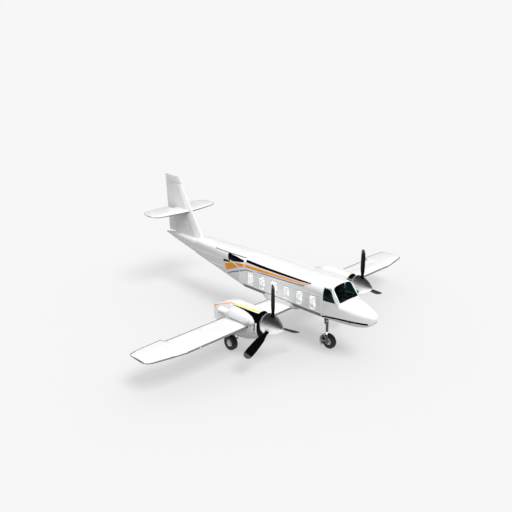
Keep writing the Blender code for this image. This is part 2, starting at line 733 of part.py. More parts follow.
def engine_pods():
    for side, label in ((1, "port"), (-1, "starboard")):
        centre_x = side * ENGINE_X
        cowl = nacelle_body("cowl_ring_" + label, COWL_FRONT_Y, COWL_REAR_Y - GAP, centre_x, 0.0,
                            black_paint())
        cut(cowl, nacelle_body("cowl_cavity_" + label, COWL_FRONT_Y + WALL, COWL_REAR_Y + OVERRUN, centre_x,
                               -WALL, black_paint()))
        cut(cowl, rod("shaft_hole_" + label, (centre_x, -3.6, HUB_Z), (centre_x, -3.2, HUB_Z),
                      SHAFT_HOLE_RADIUS, black_paint(), 24))
        chin = [(centre_x + u, CHIN_Z + v) for u, v in rounded_rectangle(*CHIN_SIZE, CHIN_CORNER)]
        cut(cowl, prism("chin_hole_" + label, chin, (-3.6, -3.2), lambda u, v, w: (u, w, v), black_paint()))

        pod = nacelle_body("nacelle_" + label, COWL_REAR_Y, NACELLE_AFT_Y, centre_x, 0.0, white_paint())
        barrel_x = side * (ENGINE_X + BARREL_X_OFFSET)
        join(pod, turned("barrel_tool_" + label, [(0.002, 0.14), (0.18, 0.20), (0.45, BARREL_RADIUS),
                                                  (BARREL_Y[1] - BARREL_Y[0], BARREL_RADIUS)],
                         (barrel_x, BARREL_Y[0], BARREL_Z), (0, 1, 0), white_paint(), 28))
        cut(pod, nacelle_body("bay_tool_" + label, COWL_REAR_Y - OVERRUN, CAVITY_END_Y, centre_x, -WALL,
                              white_paint()))
        half_x, length, height = ENGINE_SIZE[0] / 2, ENGINE_SIZE[1], ENGINE_SIZE[2]
        engine_front = COWL_REAR_Y + 0.02
        low = (centre_x - half_x, engine_front, ENGINE_BOTTOM_Z)
        high = (centre_x + half_x, engine_front + length, ENGINE_BOTTOM_Z + height)
        cut(pod, box("engine_pocket_" + label, [v - GAP for v in low], [v + GAP for v in high],
                     white_paint()))
        cut(pod, wing_half("nacelle_wing_tool_" + label, side, GAP, CONSTANT_PROFILE_X))
        cut(pod, leg_solid("leg_socket_" + label, side, GAP))

        engine = box("engine_" + label, low, high, steel())
        join(engine, rod("engine_shaft_" + label, (centre_x, engine_front + 0.02, HUB_Z),
                         (centre_x, SPINNER_BASE_Y + BACKPLATE_THICK + 2 * GAP, HUB_Z), 0.08, steel()))
        exhaust_stack(side, label, barrel_x)


def sloping_tube(name, centre_x, stations, mat, segments=24):
    """Round tube whose rings all face along Y. stations holds (y, z, radius) rows."""
    rings = []
    for y, z, radius in stations:
        rings.append([(centre_x + radius * math.cos(2 * math.pi * i / segments), y,
                       z + radius * math.sin(2 * math.pi * i / segments)) for i in range(segments)])
    return loft(name, rings, mat)


def exhaust_stack(side, label, barrel_x):
    """Short pipe behind the barrel, open at its aft end."""
    start_y, start_z = BARREL_Y[1] + GAP, BARREL_Z - 0.03
    end_y, end_z = PIPE_END
    drop = (end_z - start_z) / (end_y - start_y)
    stack = sloping_tube("exhaust_" + label, barrel_x, [
        (y, start_z + drop * (y - start_y), radius) for y, radius in
        ((start_y, PIPE_RADIUS + 0.03), (start_y + 0.06, PIPE_RADIUS + 0.02), (start_y + 0.14, PIPE_RADIUS),
         (end_y, PIPE_RADIUS))], steel())
    bore = sloping_tube("exhaust_bore_" + label, barrel_x, [
        (y, start_z + drop * (y - start_y), PIPE_RADIUS - 0.015) for y in (start_y + 0.25, end_y + 0.1)],
                         steel())
    cut(stack, bore)
    cut(stack, nacelle_body("exhaust_seat_" + label, -2.55, NACELLE_AFT_Y, side * ENGINE_X, 2 * GAP, steel()))
    cut(stack, wing_half("exhaust_wing_tool_" + label, side, GAP, WING_TIP_START_X))
    return stack


def blade_ring(distance, chord, thick, pitch, direction, lead_way, origin):
    """Section of a propeller blade, square to the blade's own axis."""
    along = Vector(direction)
    chord_way = Vector(lead_way) * math.cos(pitch) + Vector((0, -1, 0)) * math.sin(pitch)
    normal = along.cross(chord_way)
    ring = []
    for k in range(12):
        turn = 2 * math.pi * k / 12
        ring.append(Vector(origin) + along * distance + chord_way * chord / 2 * math.cos(turn)
                    + normal * thick / 2 * math.sin(turn))
    return ring


# Blade: distance from the hub's axis, chord, thickness and pitch away from the pitch at 70 % radius
BLADE_STATIONS = [
    (0.04, BLADE_ROOT, BLADE_ROOT, 0.0), (0.45, BLADE_ROOT, BLADE_ROOT, 0.0), (0.56, 0.20, 0.105, 6.0),
    (0.76, 0.31, 0.070, 4.0), (1.05, 0.36, 0.052, 1.0), (1.40, 0.38, 0.040, -2.0), (1.62, 0.36, 0.030, -3.0),
    (1.72, 0.27, 0.020, -4.0), (PROP_RADIUS, 0.11, 0.012, -4.0),
]


def propellers():
    for side, label in ((1, "port"), (-1, "starboard")):
        origin = (side * ENGINE_X, PROP_Y, HUB_Z)
        plate_y = SPINNER_BASE_Y + GAP
        rim = SPINNER_RADIUS - 0.006
        prop = turned("propeller_" + label, [(PROP_Y - 0.15 - plate_y, BOSS_RADIUS), (0.0, BOSS_RADIUS),
                                             (0.0, rim), (BACKPLATE_THICK, rim)],
                      (origin[0], plate_y, HUB_Z), (0, 1, 0), black_paint(), 32)
        for k in range(BLADE_COUNT):
            turn = 2 * math.pi * k / BLADE_COUNT
            direction = (math.sin(turn), 0, math.cos(turn))
            lead_way = (-math.cos(turn), 0, math.sin(turn))
            rings = [blade_ring(d, c, t, BLADE_PITCH + math.radians(p), direction, lead_way, origin)
                     for d, c, t, p in BLADE_STATIONS]
            join(prop, loft("blade_tool_%s_%d" % (label, k), rings, black_paint()))
        spinner(side, label)


def spinner(side, label):
    """Polished dome with holes for the blade roots, open at its back over the backplate."""
    length = SPINNER_BASE_Y - SPINNER_TIP_Y
    profile = []
    for k in range(7):
        share = k / 6
        profile.append((length * share, max(SPINNER_RADIUS * math.sin(math.pi / 2 * share) ** 0.75, 0.012)))
    centre = (side * ENGINE_X, SPINNER_TIP_Y, HUB_Z)
    dome = turned("spinner_" + label, profile, centre, (0, 1, 0), steel(), 24)
    inside = [(along + 0.03, max(radius - 0.022, 0.008)) for along, radius in profile[1:]]
    cut(dome, turned("spinner_inside_" + label, inside, centre, (0, 1, 0), steel(), 24))
    for k in range(BLADE_COUNT):
        turn = 2 * math.pi * k / BLADE_COUNT
        start = Vector((side * ENGINE_X, PROP_Y, HUB_Z))
        way = Vector((math.sin(turn), 0, math.cos(turn)))
        cut(dome, rod("blade_hole_%s_%d" % (label, k), start, start + way * 0.7, BLADE_ROOT / 2 + 0.0018,
                      steel(), 16))
    return dome


def fin_lead(z):
    return FIN_FOOT[0] + (z - FIN_FOOT[1]) * FIN_SLOPE


def rudder_hinge(z):
    return RUDDER_HINGE[0] + (z - RUDDER_HINGE[1]) * RUDDER_LEAN


def rudder_trail(z):
    return 6.61 + (z - 2.93) * 0.052


def rudder_half(z):
    return float(np.interp(z, [RUDDER_FOOT_Z, TAIL_TOP_Z], [0.055, 0.032]))


def fin():
    rings = []
    for z in (2.80, FIN_FOOT[1], 4.30, FIN_TOP_Z):
        lead = max(fin_lead(z), FIN_FOOT[0])
        rear = rudder_hinge(z) - rudder_half(z) - SWING_GAP
        trail = rudder_trail(z)
        ratio = float(np.interp(z, [3.0, FIN_TOP_Z], [FIN_RATIO, 0.095]))
        rings.append(profile_ring(lead, trail, ratio, lambda c, t, pz=z: (t, c, pz),
                                  last=(rear - lead) / (trail - lead)))
    made = loft("fin", rings, white_paint())
    cut(made, fin_cavity("fin_cavity_tool"))
    cut(made, fuselage_body("fin_cone_tool", CONE_JOINT_Y, TAIL_Y, GAP, white_paint(), CONE_SECTIONS))
    cut(made, tailplane_body("fin_tailplane_tool", GAP))
    return made


def fin_cavity(name):
    """Hollow of the fin below the tailplane, open at the fin's foot."""
    rings = []
    for z in (2.70, FIN_FOOT[1], FIN_CAVITY_TOP_Z):
        lead, chord = max(fin_lead(z), FIN_FOOT[0]), rudder_trail(z) - max(fin_lead(z), FIN_FOOT[0])
        upper = [(lead + chord * s, chord * profile_half(s, FIN_RATIO) - FIN_WALL) for s in FIN_CAVITY_SHARES]
        rings.append([(half, y, z) for y, half in upper] + [(-half, y, z) for y, half in reversed(upper)])
    return loft(name, rings, white_paint())


def rudder():
    """Rudder with a horn that runs forward over the fin's top."""
    rings = []
    for z in (RUDDER_FOOT_Z, 4.30, 5.62):
        rings.append(surface_ring(rudder_half(z), rudder_trail(z) - rudder_hinge(z),
                                  lambda c, t, pz=z: (t, rudder_hinge(pz) + c, pz)))
    made = loft("rudder", rings, white_paint())
    horn = []
    for z in (FIN_TOP_Z + 0.016, 5.90, TAIL_TOP_Z):
        shorter = 0.03 if z > 5.95 else 0.0
        lead, trail = fin_lead(z) + shorter, rudder_trail(z) - shorter
        ratio = 0.085 if z < 5.95 else 0.05
        horn.append(profile_ring(lead, trail, ratio, lambda c, t, pz=z: (t, c, pz)))
    join(made, loft("horn_tool", horn, white_paint()))
    return join(made, rudder_pin("rudder_pin_tool"))


def rudder_pin(name, grow=0.0):
    """Pin on the rudder's axis that stands in the tail cone."""
    foot, head = RUDDER_FOOT_Z - 0.07 - grow, RUDDER_FOOT_Z + 0.05
    return rod(name, (0, rudder_hinge(foot), foot), (0, rudder_hinge(head), head), PIN_RADIUS + grow,
               white_paint(), PIN_SIDES)


TAILPLANE_STATIONS = [
    (0.0, 4.82, 6.50), (0.45, 4.85, 6.50), (1.05, 4.93, 6.48), (1.60, 5.02, 6.35), (1.86, 5.13, 6.20),
    (1.98, 5.29, 6.03), (TAILPLANE_HALF, 5.50, 5.86),
]


def tailplane_body(name, grow=0.0):
    stations = [(-x, lead, trail) for x, lead, trail in reversed(TAILPLANE_STATIONS[1:])] + TAILPLANE_STATIONS
    rings = []
    for x, lead, trail in stations:
        ratio = float(np.interp(abs(x), [0, 1.6, TAILPLANE_HALF], [0.095, 0.09, 0.07]))
        rings.append(profile_ring(lead, trail, ratio, lambda c, t, px=x: (px, c, TAILPLANE_Z + t), grow))
    return loft(name, rings, white_paint())


def elevator_half(x):
    return float(np.interp(x, ELEVATOR_X, [0.046, 0.038]))


def tailplane():
    made = tailplane_body("tailplane")
    cove = ELEVATOR_HINGE_Y - elevator_half(ELEVATOR_X[0]) - SWING_GAP
    root = box("elevator_bay", (-ELEVATOR_X[1] - SWING_GAP, cove, TAILPLANE_Z - 0.3),
               (ELEVATOR_X[1] + SWING_GAP, 7.0, TAILPLANE_Z + 0.3), white_paint())
    cut(made, root)
    for side, label in ((1, "port"), (-1, "starboard")):
        cut(made, elevator_pin("elevator_socket_" + label, side, GAP))
    return made


def elevator_pin(name, side, grow=0.0):
    """Pin at the elevator's outer end, in the tailplane's tip."""
    hinge = (ELEVATOR_HINGE_Y, TAILPLANE_Z)
    inner, outer = side * (ELEVATOR_X[1] - PIN_ROOT), side * (ELEVATOR_X[1] + 0.04 + grow)
    return rod(name, (inner, *hinge), (outer, *hinge), PIN_RADIUS + grow, white_paint(), PIN_SIDES)


def elevators():
    for side, label in ((1, "port"), (-1, "starboard")):
        rings = []
        for x in (ELEVATOR_X[0], 1.05, ELEVATOR_X[1]):
            trail = float(np.interp(x, *zip(*((row[0], row[2]) for row in TAILPLANE_STATIONS))))
            rings.append(surface_ring(elevator_half(x), trail - ELEVATOR_HINGE_Y,
                                      lambda c, t, px=x * side: (px, ELEVATOR_HINGE_Y + c, TAILPLANE_Z + t)))
        surface = loft("elevator_" + label, rings, white_paint())
        join(surface, elevator_pin("elevator_pin_" + label, side))


def wheel_centre_z():
    """Height of the axle: the tyre stands on a flat facet of its tread."""
    return TYRE_RADIUS * math.cos(math.pi / WHEEL_SEGMENTS)


def wheel(name, x, y, width):
    """Tyre and hub on an axle along X."""
    centre = (x, y, wheel_centre_z())
    half = width / 2
    rubber = material("tyre_rubber", (0.015, 0.015, 0.016), roughness=0.9)
    tread = TYRE_RADIUS
    flank = [(0.86, HUB_RADIUS + 0.01), (1.0, tread * 0.72), (0.84, tread * 0.93), (0.5, tread)]
    both = [(-half * share, radius) for share, radius in flank]
    both += [(half * share, radius) for share, radius in reversed(flank)]
    tyre = turned(name + "_tyre", both, centre, (1, 0, 0), rubber, WHEEL_SEGMENTS, True)
    bore = HUB_RADIUS + GAP
    cut(tyre, turned(name + "_bore_tool", [(-0.3, bore), (0.3, bore)], centre, (1, 0, 0), rubber, 24))
    face, shoulder = half * HUB_SHARE, half * 0.72
    return turned(name + "_hub", [(-face, HUB_RADIUS * 0.55), (-shoulder, HUB_RADIUS), (shoulder, HUB_RADIUS),
                                  (face, HUB_RADIUS * 0.55)], centre, (1, 0, 0), steel(), 24)


def leg_solid(name, side, grow=0.0):
    """Main gear strut and drag brace, both let into the nacelle's belly. A grown copy cuts their sockets."""
    foot = Vector((side * MAIN_LEG_X, MAIN_WHEEL[1], wheel_centre_z() - 0.06))
    leg = rod(name, foot, (foot.x, foot.y, LEG_TOP_Z + grow), LEG_RADIUS + grow, steel())
    brace_foot = Vector((foot.x, foot.y, 0.45))
    brace_top = Vector((foot.x, foot.y + 0.32, 0.96))
    brace_top += (brace_top - brace_foot).normalized() * grow
    return join(leg, rod(name + "_brace_tool", brace_foot, brace_top, 0.03 + grow, steel(), 12))


MAIN_TYRE_WIDTH = 0.27
NOSE_TYRE_WIDTH = 0.21


def main_gear():
    for side, label in ((1, "port"), (-1, "starboard")):
        wheel("main_" + label, side * MAIN_WHEEL[0], MAIN_WHEEL[1], MAIN_TYRE_WIDTH)
        axle_z = wheel_centre_z()
        leg = leg_solid("main_leg_" + label, side)
        inner_face = side * (MAIN_WHEEL[0] - MAIN_TYRE_WIDTH / 2 * HUB_SHARE - GAP)
        join(leg, rod("axle_tool_" + label, (side * MAIN_LEG_X, MAIN_WHEEL[1], axle_z),
                      (inner_face, MAIN_WHEEL[1], axle_z), 0.05, steel()))


def nose_gear():
    axle_z = wheel_centre_z()
    wheel("nose", NOSE_WHEEL[0], NOSE_WHEEL[1], NOSE_TYRE_WIDTH)
    foot = (NOSE_LEG_X, NOSE_WHEEL[1], STEER_Z)
    top = BELLY_Z - STEER_Z - GAP
    collar = BELLY_Z - STEER_Z - 0.04
    leg = turned("nose_gear_leg", [(0.0, 0.065), (collar, 0.065), (collar, 0.13), (top, 0.13)], foot,
                 (0, 0, 1), steel(), 24)
    fork_profile = [(axle_z - 0.07 - STEER_Z, 0.052), (-0.30, 0.052), (-0.22, 0.06), (-GAP, 0.06)]
    fork = turned("nose_fork", fork_profile, foot, (0, 0, 1), steel(), 24)
    hub_face = NOSE_WHEEL[0] - NOSE_TYRE_WIDTH / 2 * HUB_SHARE - GAP
    join(fork, rod("nose_axle_tool", (NOSE_LEG_X, NOSE_WHEEL[1], axle_z), (hub_face, NOSE_WHEEL[1], axle_z),
                   0.04, steel()))
    join(fork, mudguard("mudguard_tool", axle_z))
    return leg


def mudguard(name, axle_z):
    """Curved guard close behind the nose wheel, carried by the leg."""
    inner, outer = TYRE_RADIUS + 0.03, TYRE_RADIUS + 0.055
    outline = []
    steps = 8
    low, high = math.radians(-38), math.radians(42)
    for k in range(steps + 1):
        turn = low + (high - low) * k / steps
        outline.append((NOSE_WHEEL[1] + outer * math.cos(turn), axle_z + outer * math.sin(turn)))
    for k in reversed(range(steps + 1)):
        turn = low + (high - low) * k / steps
        outline.append((NOSE_WHEEL[1] + inner * math.cos(turn), axle_z + inner * math.sin(turn)))
    guard = prism(name, outline, (-0.16, 0.16), lambda u, v, w: (w, u, v), steel())
    return join(guard, rod("guard_arm_tool", (NOSE_LEG_X, NOSE_WHEEL[1], axle_z + 0.02),
                           (NOSE_LEG_X, NOSE_WHEEL[1] + outer - 0.005, axle_z + 0.02), 0.02, steel(), 12))


clear_scene()
nose_cone()
cockpit_shell()
cabin_shell()
tail_shell()
tail_cone()
airstair_door()
windshield_panes()
cockpit_side_glass()
cabin_floor()
cabin_seats()
pilot_seats()
instrument_panel()
wings()
flaps_and_ailerons()
belly_fairing()
engine_pods()
propellers()
fin()
rudder()
tailplane()
elevators()
main_gear()
nose_gear()
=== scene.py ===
import json
from math import ceil, copysign, cos, pi, radians, sin, sqrt

import bmesh
import bpy
from mathutils import Euler, Matrix, Vector
from mathutils.bvhtree import BVHTree

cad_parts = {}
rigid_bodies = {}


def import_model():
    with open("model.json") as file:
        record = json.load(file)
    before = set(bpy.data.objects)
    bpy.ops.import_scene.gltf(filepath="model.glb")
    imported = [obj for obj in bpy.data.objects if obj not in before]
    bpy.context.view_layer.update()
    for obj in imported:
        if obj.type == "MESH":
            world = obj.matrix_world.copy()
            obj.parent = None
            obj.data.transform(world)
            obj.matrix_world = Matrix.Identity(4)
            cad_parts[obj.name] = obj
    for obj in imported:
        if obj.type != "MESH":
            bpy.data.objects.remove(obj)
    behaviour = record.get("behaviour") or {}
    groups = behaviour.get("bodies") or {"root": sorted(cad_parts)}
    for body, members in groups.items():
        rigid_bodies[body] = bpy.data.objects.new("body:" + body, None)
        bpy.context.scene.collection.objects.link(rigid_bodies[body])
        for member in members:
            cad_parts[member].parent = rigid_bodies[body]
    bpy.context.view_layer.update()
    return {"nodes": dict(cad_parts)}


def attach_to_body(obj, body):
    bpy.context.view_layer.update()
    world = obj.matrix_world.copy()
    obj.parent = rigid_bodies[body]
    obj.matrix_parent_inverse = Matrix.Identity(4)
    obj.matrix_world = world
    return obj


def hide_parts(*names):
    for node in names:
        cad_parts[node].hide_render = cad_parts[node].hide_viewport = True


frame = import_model()
nodes = frame["nodes"]
sides = ((1, "port"), (-1, "starboard"))
yAxis, zAxis = (0, 1, 0), (0, 0, 1)
scene = bpy.context.scene
print("frame loaded:", len(nodes), "nodes")


# objects and nodes

def addObject(name, data):
    made = bpy.data.objects.new(name, data)
    scene.collection.objects.link(made)
    return made


def feed(tree, socket, value):  # links another node's output, or sets a plain value
    if isinstance(value, bpy.types.NodeSocket):
        tree.links.new(value, socket)
    else:
        socket.default_value = value


def addNode(tree, kind, inputs=None, **settings):
    made = tree.nodes.new(kind)
    for key, value in settings.items():
        setattr(made, key, value)
    for key, value in (inputs or {}).items():
        feed(tree, made.inputs[key], value)
    return made


def nodeOut(tree, kind, inputs, **settings):  # a new node's first output
    return addNode(tree, kind, inputs, **settings).outputs[0]


def maths(tree, how, a, b):
    return nodeOut(tree, "ShaderNodeMath", {0: a, 1: b}, operation=how)


def product(tree, a, b):
    return maths(tree, "MULTIPLY", a, b)


def ramp(tree, value, low, high, toLow=0.0, toHigh=1.0):
    return nodeOut(tree, "ShaderNodeMapRange", {"Value": value, "From Min": low, "From Max": high,
        "To Min": toLow, "To Max": toHigh})


# camera, floor and light

view = {
    "place": (-20.015, -20.446, 13.54), "turn": (69.99, 0.0, -44.32), "roll": -0.17,
    "lens": 45.95, "sensor": 36.0, "far": 500,
}

camera = addObject("camera", bpy.data.cameras.new("camera"))
camera.data.lens = view["lens"]
camera.data.sensor_width = view["sensor"]
camera.data.clip_end = view["far"]
camera.rotation_mode = "QUATERNION"
aim = Euler([radians(v) for v in view["turn"]]).to_matrix()
roll = Matrix.Rotation(radians(view["roll"]), 3, "Z")
camera.rotation_quaternion = (aim @ roll).to_quaternion()
camera.location = view["place"]
scene.camera = camera

studio = {
    "floorHalf": 600.0, "floorColour": 0.36, "floorBounce": 0.06, "floorMirror": 1.15, "floorGlow": 0.41,
    "skyDiffuse": 0.86, "skyMirror": 0.03, "skySeen": 0.93,
    "sunTurn": (34.0, -9.0, 0.0), "sunStrength": 2.2, "sunAngle": 25.0,
    "lamps": ((-3.6, 42.0), (-1.4, 42.0), (0.6, 20.0)), "lampSize": (0.5, 1.6), "lampZ": 3.17,
}


def studioFloor():  # pale for the camera, dark for bounced light, bright in polished metal
    made = bpy.data.materials.new("paleFloor")
    made.use_nodes = True
    tree = made.node_tree
    path = tree.nodes.new("ShaderNodeLightPath").outputs
    tone = ramp(tree, path["Is Camera Ray"], 0.0, 1.0, studio["floorBounce"], studio["floorColour"])
    lift = product(tree, path["Is Camera Ray"], studio["floorGlow"])
    glow = nodeOut(tree, "ShaderNodeMath", {0: path["Is Glossy Ray"], 1: studio["floorMirror"], 2: lift},
        operation="MULTIPLY_ADD")
    for label, value in (("Base Color", tone), ("Roughness", 1.0), ("Specular IOR Level", 0.0),
            ("Emission Color", (1, 1, 1, 1)), ("Emission Strength", glow)):
        feed(tree, tree.nodes["Principled BSDF"].inputs[label], value)
    half = studio["floorHalf"]
    mesh = bpy.data.meshes.new("floor")
    mesh.from_pydata([(-half, -half, 0), (half, -half, 0), (half, half, 0), (-half, half, 0)], [],
        [(0, 1, 2, 3)])
    mesh.materials.append(made)
    addObject("floor", mesh)


def studioSky():  # one strength for light, one in mirrors and one for the camera
    world = bpy.data.worlds.new("studio")
    world.use_nodes = True
    tree = world.node_tree
    path = tree.nodes.new("ShaderNodeLightPath").outputs
    mirror = ramp(tree, path["Is Glossy Ray"], 0.0, 1.0, studio["skyDiffuse"], studio["skyMirror"])
    sky = tree.nodes["Background"].inputs
    feed(tree, sky["Strength"], ramp(tree, path["Is Camera Ray"], 0.0, 1.0, mirror, studio["skySeen"]))
    sky["Color"].default_value = (1, 1, 1, 1)
    scene.world = world


def studioLights():
    sun = addObject("sun", bpy.data.lights.new("sun", "SUN"))
    sun.data.energy = studio["sunStrength"]
    sun.data.angle = radians(studio["sunAngle"])
    sun.visible_glossy = False  # polished metal mirrors the pale floor and the dark sky only
    sun.rotation_euler = [radians(v) for v in studio["sunTurn"]]
    for k, (y, power) in enumerate(studio["lamps"]):  # under the cabin roof
        lamp = addObject("cabinLight_%d" % k, bpy.data.lights.new("cabinLight_%d" % k, "AREA"))
        lamp.data.shape = "RECTANGLE"
        lamp.data.size, lamp.data.size_y = studio["lampSize"]
        lamp.data.energy = power
        lamp.location = (0, y, studio["lampZ"])


studioFloor()
studioSky()
studioLights()
scene.view_settings.view_transform = "Standard"
print("camera, floor and light are set")


# finishes

numberKind, vectorKind, colourKind = "NodeSocketFloat", "NodeSocketVector", "NodeSocketColor"


def noiseAt(tree, vector, scale, detail=3.0, stretch=(1, 1, 1)):
    moved = nodeOut(tree, "ShaderNodeMapping", {"Vector": vector, "Scale": stretch})
    return nodeOut(tree, "ShaderNodeTexNoise", {"Vector": moved, "Scale": scale, "Detail": detail})


def greyOf(tree, tone):
    return nodeOut(tree, "ShaderNodeCombineColor", {0: tone, 1: tone, 2: tone})


def blendColour(tree, factor, a, b, how="MIX"):
    mixer = addNode(tree, "ShaderNodeMix", {"Factor": factor}, data_type="RGBA", blend_type=how)
    feed(tree, mixer.inputs[6], a)
    feed(tree, mixer.inputs[7], b)
    return mixer.outputs[2]


# a group, its inputs with their first values, and its coordinates
def openFilm(name, colour, rough, **extras):
    group = bpy.data.node_groups.new(name, "ShaderNodeTree")
    for label, value in dict(Colour=(*colour, 1), Rough=rough, **extras).items():
        kind = {"Colour": colourKind, "Grain": vectorKind}.get(label, numberKind)
        group.interface.new_socket(name=label, in_out="INPUT", socket_type=kind).default_value = value
    for label, kind in (("Colour", colourKind), ("Roughness", numberKind), ("Normal", vectorKind)):
        group.interface.new_socket(name=label, in_out="OUTPUT", socket_type=kind)
    place = group.nodes.new("ShaderNodeTexCoord").outputs["Object"]
    return group, group.nodes.new("NodeGroupInput").outputs, place


def closeFilm(group, given, colour, rougher, **bump):
    out = group.nodes.new("NodeGroupOutput").inputs
    group.links.new(colour, out["Colour"])
    group.links.new(maths(group, "ADD", given["Rough"], rougher), out["Roughness"])
    group.links.new(nodeOut(group, "ShaderNodeBump", bump), out["Normal"])
    return group


def paintFilm():  # sprayed paint: slow tone drift, streaks along the airflow, darker streaks on faces that point down, orange peel
    group, given, place = openFilm("paintFilm", (0.86, 0.87, 0.88), 0.3, Dirt=0.25, Peel=0.15)
    drift = ramp(group, noiseAt(group, place, 0.7), 0.3, 0.7, 0.965, 1.0)
    streak = ramp(group, noiseAt(group, place, 5.0, 5.0, (1.6, 0.16, 1.6)), 0.52, 0.8)
    speck = ramp(group, noiseAt(group, place, 38.0, 2.0), 0.62, 0.8)
    normal = group.nodes.new("ShaderNodeNewGeometry").outputs["Normal"]
    below = ramp(group, addNode(group, "ShaderNodeSeparateXYZ", {0: normal}).outputs[2], 0.1, -0.7)
    # darker streaks on faces that point down
    underStreak = product(group, product(group, below, streak), given["Dirt"])
    marks = product(group, maths(group, "MAXIMUM", streak, speck), product(group, given["Dirt"], 0.28))
    toned = blendColour(group, 1.0, given["Colour"], greyOf(group, drift), "MULTIPLY")
    grimy = blendColour(group, marks, toned, (0.42, 0.41, 0.39, 1))
    underStreaked = blendColour(group, underStreak, grimy, (0.16, 0.15, 0.14, 1))
    return closeFilm(group, given, underStreaked, product(group, marks, 0.9), Height=noiseAt(group, place, 90.0, 2.0),
        Distance=0.0012, Strength=given["Peel"])


def metalGrain():  # turned or drawn metal: fine grain along an axis, smudges, stains
    group, given, place = openFilm("metalGrain", (0.6, 0.6, 0.62), 0.25, Stain=0.2, Grain=(2.0, 60.0, 60.0))
    moved = nodeOut(group, "ShaderNodeVectorMath", {0: place, 1: given["Grain"]}, operation="MULTIPLY")
    grain = nodeOut(group, "ShaderNodeTexNoise", {"Vector": moved, "Scale": 2.0, "Detail": 4.0})
    smudge = ramp(group, noiseAt(group, place, 7.0, 4.0), 0.45, 0.75)
    stain = product(group, smudge, given["Stain"])
    rougher = maths(group, "ADD", product(group, grain, 0.14), product(group, smudge, 0.12))
    return closeFilm(group, given, blendColour(group, stain, given["Colour"], (0.22, 0.19, 0.16, 1)), rougher,
        Height=grain, Distance=0.0006, Strength=0.12)


def rubberSkin():  # dusty vulcanised rubber
    group, given, place = openFilm("rubberSkin", (0.02, 0.02, 0.021), 0.75, Dust=0.3)
    dust = product(group, ramp(group, noiseAt(group, place, 16.0, 6.0), 0.45, 0.8), given["Dust"])
    dusty = blendColour(group, dust, given["Colour"], (0.16, 0.15, 0.135, 1))
    return closeFilm(group, given, dusty, product(group, dust, 0.6), Height=noiseAt(group, place, 240.0, 3.0),
        Distance=0.0015, Strength=0.35)


def clothWeave():  # plain weave with a soft nap
    group, given, place = openFilm("clothWeave", (0.5, 0.5, 0.5), 0.9, Threads=260.0)
    waves = []
    for turn in ((0, 0, 0), (0, 0, 1.5708)):
        moved = nodeOut(group, "ShaderNodeMapping", {"Vector": place, "Rotation": turn})
        wave = addNode(group, "ShaderNodeTexWave", {"Vector": moved, "Scale": given["Threads"],
            "Distortion": 0.6})
        waves.append(wave.outputs["Fac"])
    weave = product(group, *waves)
    nap = ramp(group, noiseAt(group, place, 9.0, 4.0), 0.3, 0.7, 0.9, 1.0)
    tone = greyOf(group, product(group, ramp(group, weave, 0.0, 1.0, 0.84, 1.0), nap))
    return closeFilm(group, given, blendColour(group, 1.0, given["Colour"], tone, "MULTIPLY"),
        product(group, weave, 0.08), Height=weave, Distance=0.001, Strength=0.5)


groups = {"paint": paintFilm(), "metal": metalGrain(), "rubber": rubberSkin(), "cloth": clothWeave()}
shaderInputs = {
    "metallic": "Metallic", "coat": "Coat Weight", "sheen": "Sheen Weight", "gloss": "Specular IOR Level",
    "alpha": "Alpha",
}
glowStrength = 0.4


def finish(name, kind, colour, rough, glow=None, **amounts):
    made = bpy.data.materials.new(name)
    made.use_nodes = True
    tree = made.node_tree
    shader = tree.nodes["Principled BSDF"].inputs
    effect = addNode(tree, "ShaderNodeGroup", node_tree=groups[kind])
    for key, value in dict(amounts, Colour=(*colour, 1), Rough=rough).items():
        socket = shader[shaderInputs[key]] if key in shaderInputs else effect.inputs[key]
        socket.default_value = value
    for output, label in (("Colour", "Base Color"), ("Roughness", "Roughness"), ("Normal", "Normal")):
        tree.links.new(effect.outputs[output], shader[label])
    if "alpha" in amounts:
        made.surface_render_method = "BLENDED"
    if glow:
        shader["Emission Color"].default_value = (*glow, 1)
        shader["Emission Strength"].default_value = glowStrength
    return made


def paint(name, colour, rough, dirt, peel=0.1, **more):
    return finish(name, "paint", colour, rough, Dirt=dirt, Peel=peel, **more)


def glassy(name, colour, rough, **more):
    return paint(name, colour, rough, 0.0, 0.0, **more)


def metal(name, colour, rough, stain, **more):
    return finish(name, "metal", colour, rough, metallic=1.0, Stain=stain, **more)


white = paint("whitePaint", (0.86, 0.865, 0.87), 0.28, 0.30, coat=0.35)
lilac = paint("lilacPaint", (0.74, 0.74, 0.84), 0.30, 0.15, coat=0.35)
black = paint("blackPaint", (0.002, 0.002, 0.003), 0.45, 0.02, gloss=0.05)
slate = paint("slatePaint", (0.055, 0.05, 0.075), 0.35, 0.10, gloss=0.2)
orange = paint("orangePaint", (0.96, 0.36, 0.0), 0.35, 0.04, gloss=0.15)
yellow = paint("yellowPaint", (1.0, 0.74, 0.0), 0.35, 0.04, gloss=0.15)
# brighter white, also the painted highlight along the front of the fin
bandWhite = paint("bandWhite", (0.97, 0.97, 0.97), 0.28, 0.05, coat=0.35)
# greyer white as painted shade on the flat sides of tail and cone
sideWhite = paint("sideWhite", (0.74, 0.74, 0.745), 0.30, 0.2, coat=0.3)
# greyer white as painted shade on the fin and rudder sides
finWhite = paint("finWhite", (0.79, 0.795, 0.80), 0.30, 0.25, coat=0.3)
# dark grey as painted shade on the cabin's lower chamfer
bellyGrey = paint("bellyGrey", (0.33, 0.33, 0.335), 0.45, 0.2, gloss=0.2)
lining = paint("cabinLining", (0.74, 0.75, 0.75), 0.75, 0.05, 0.5)
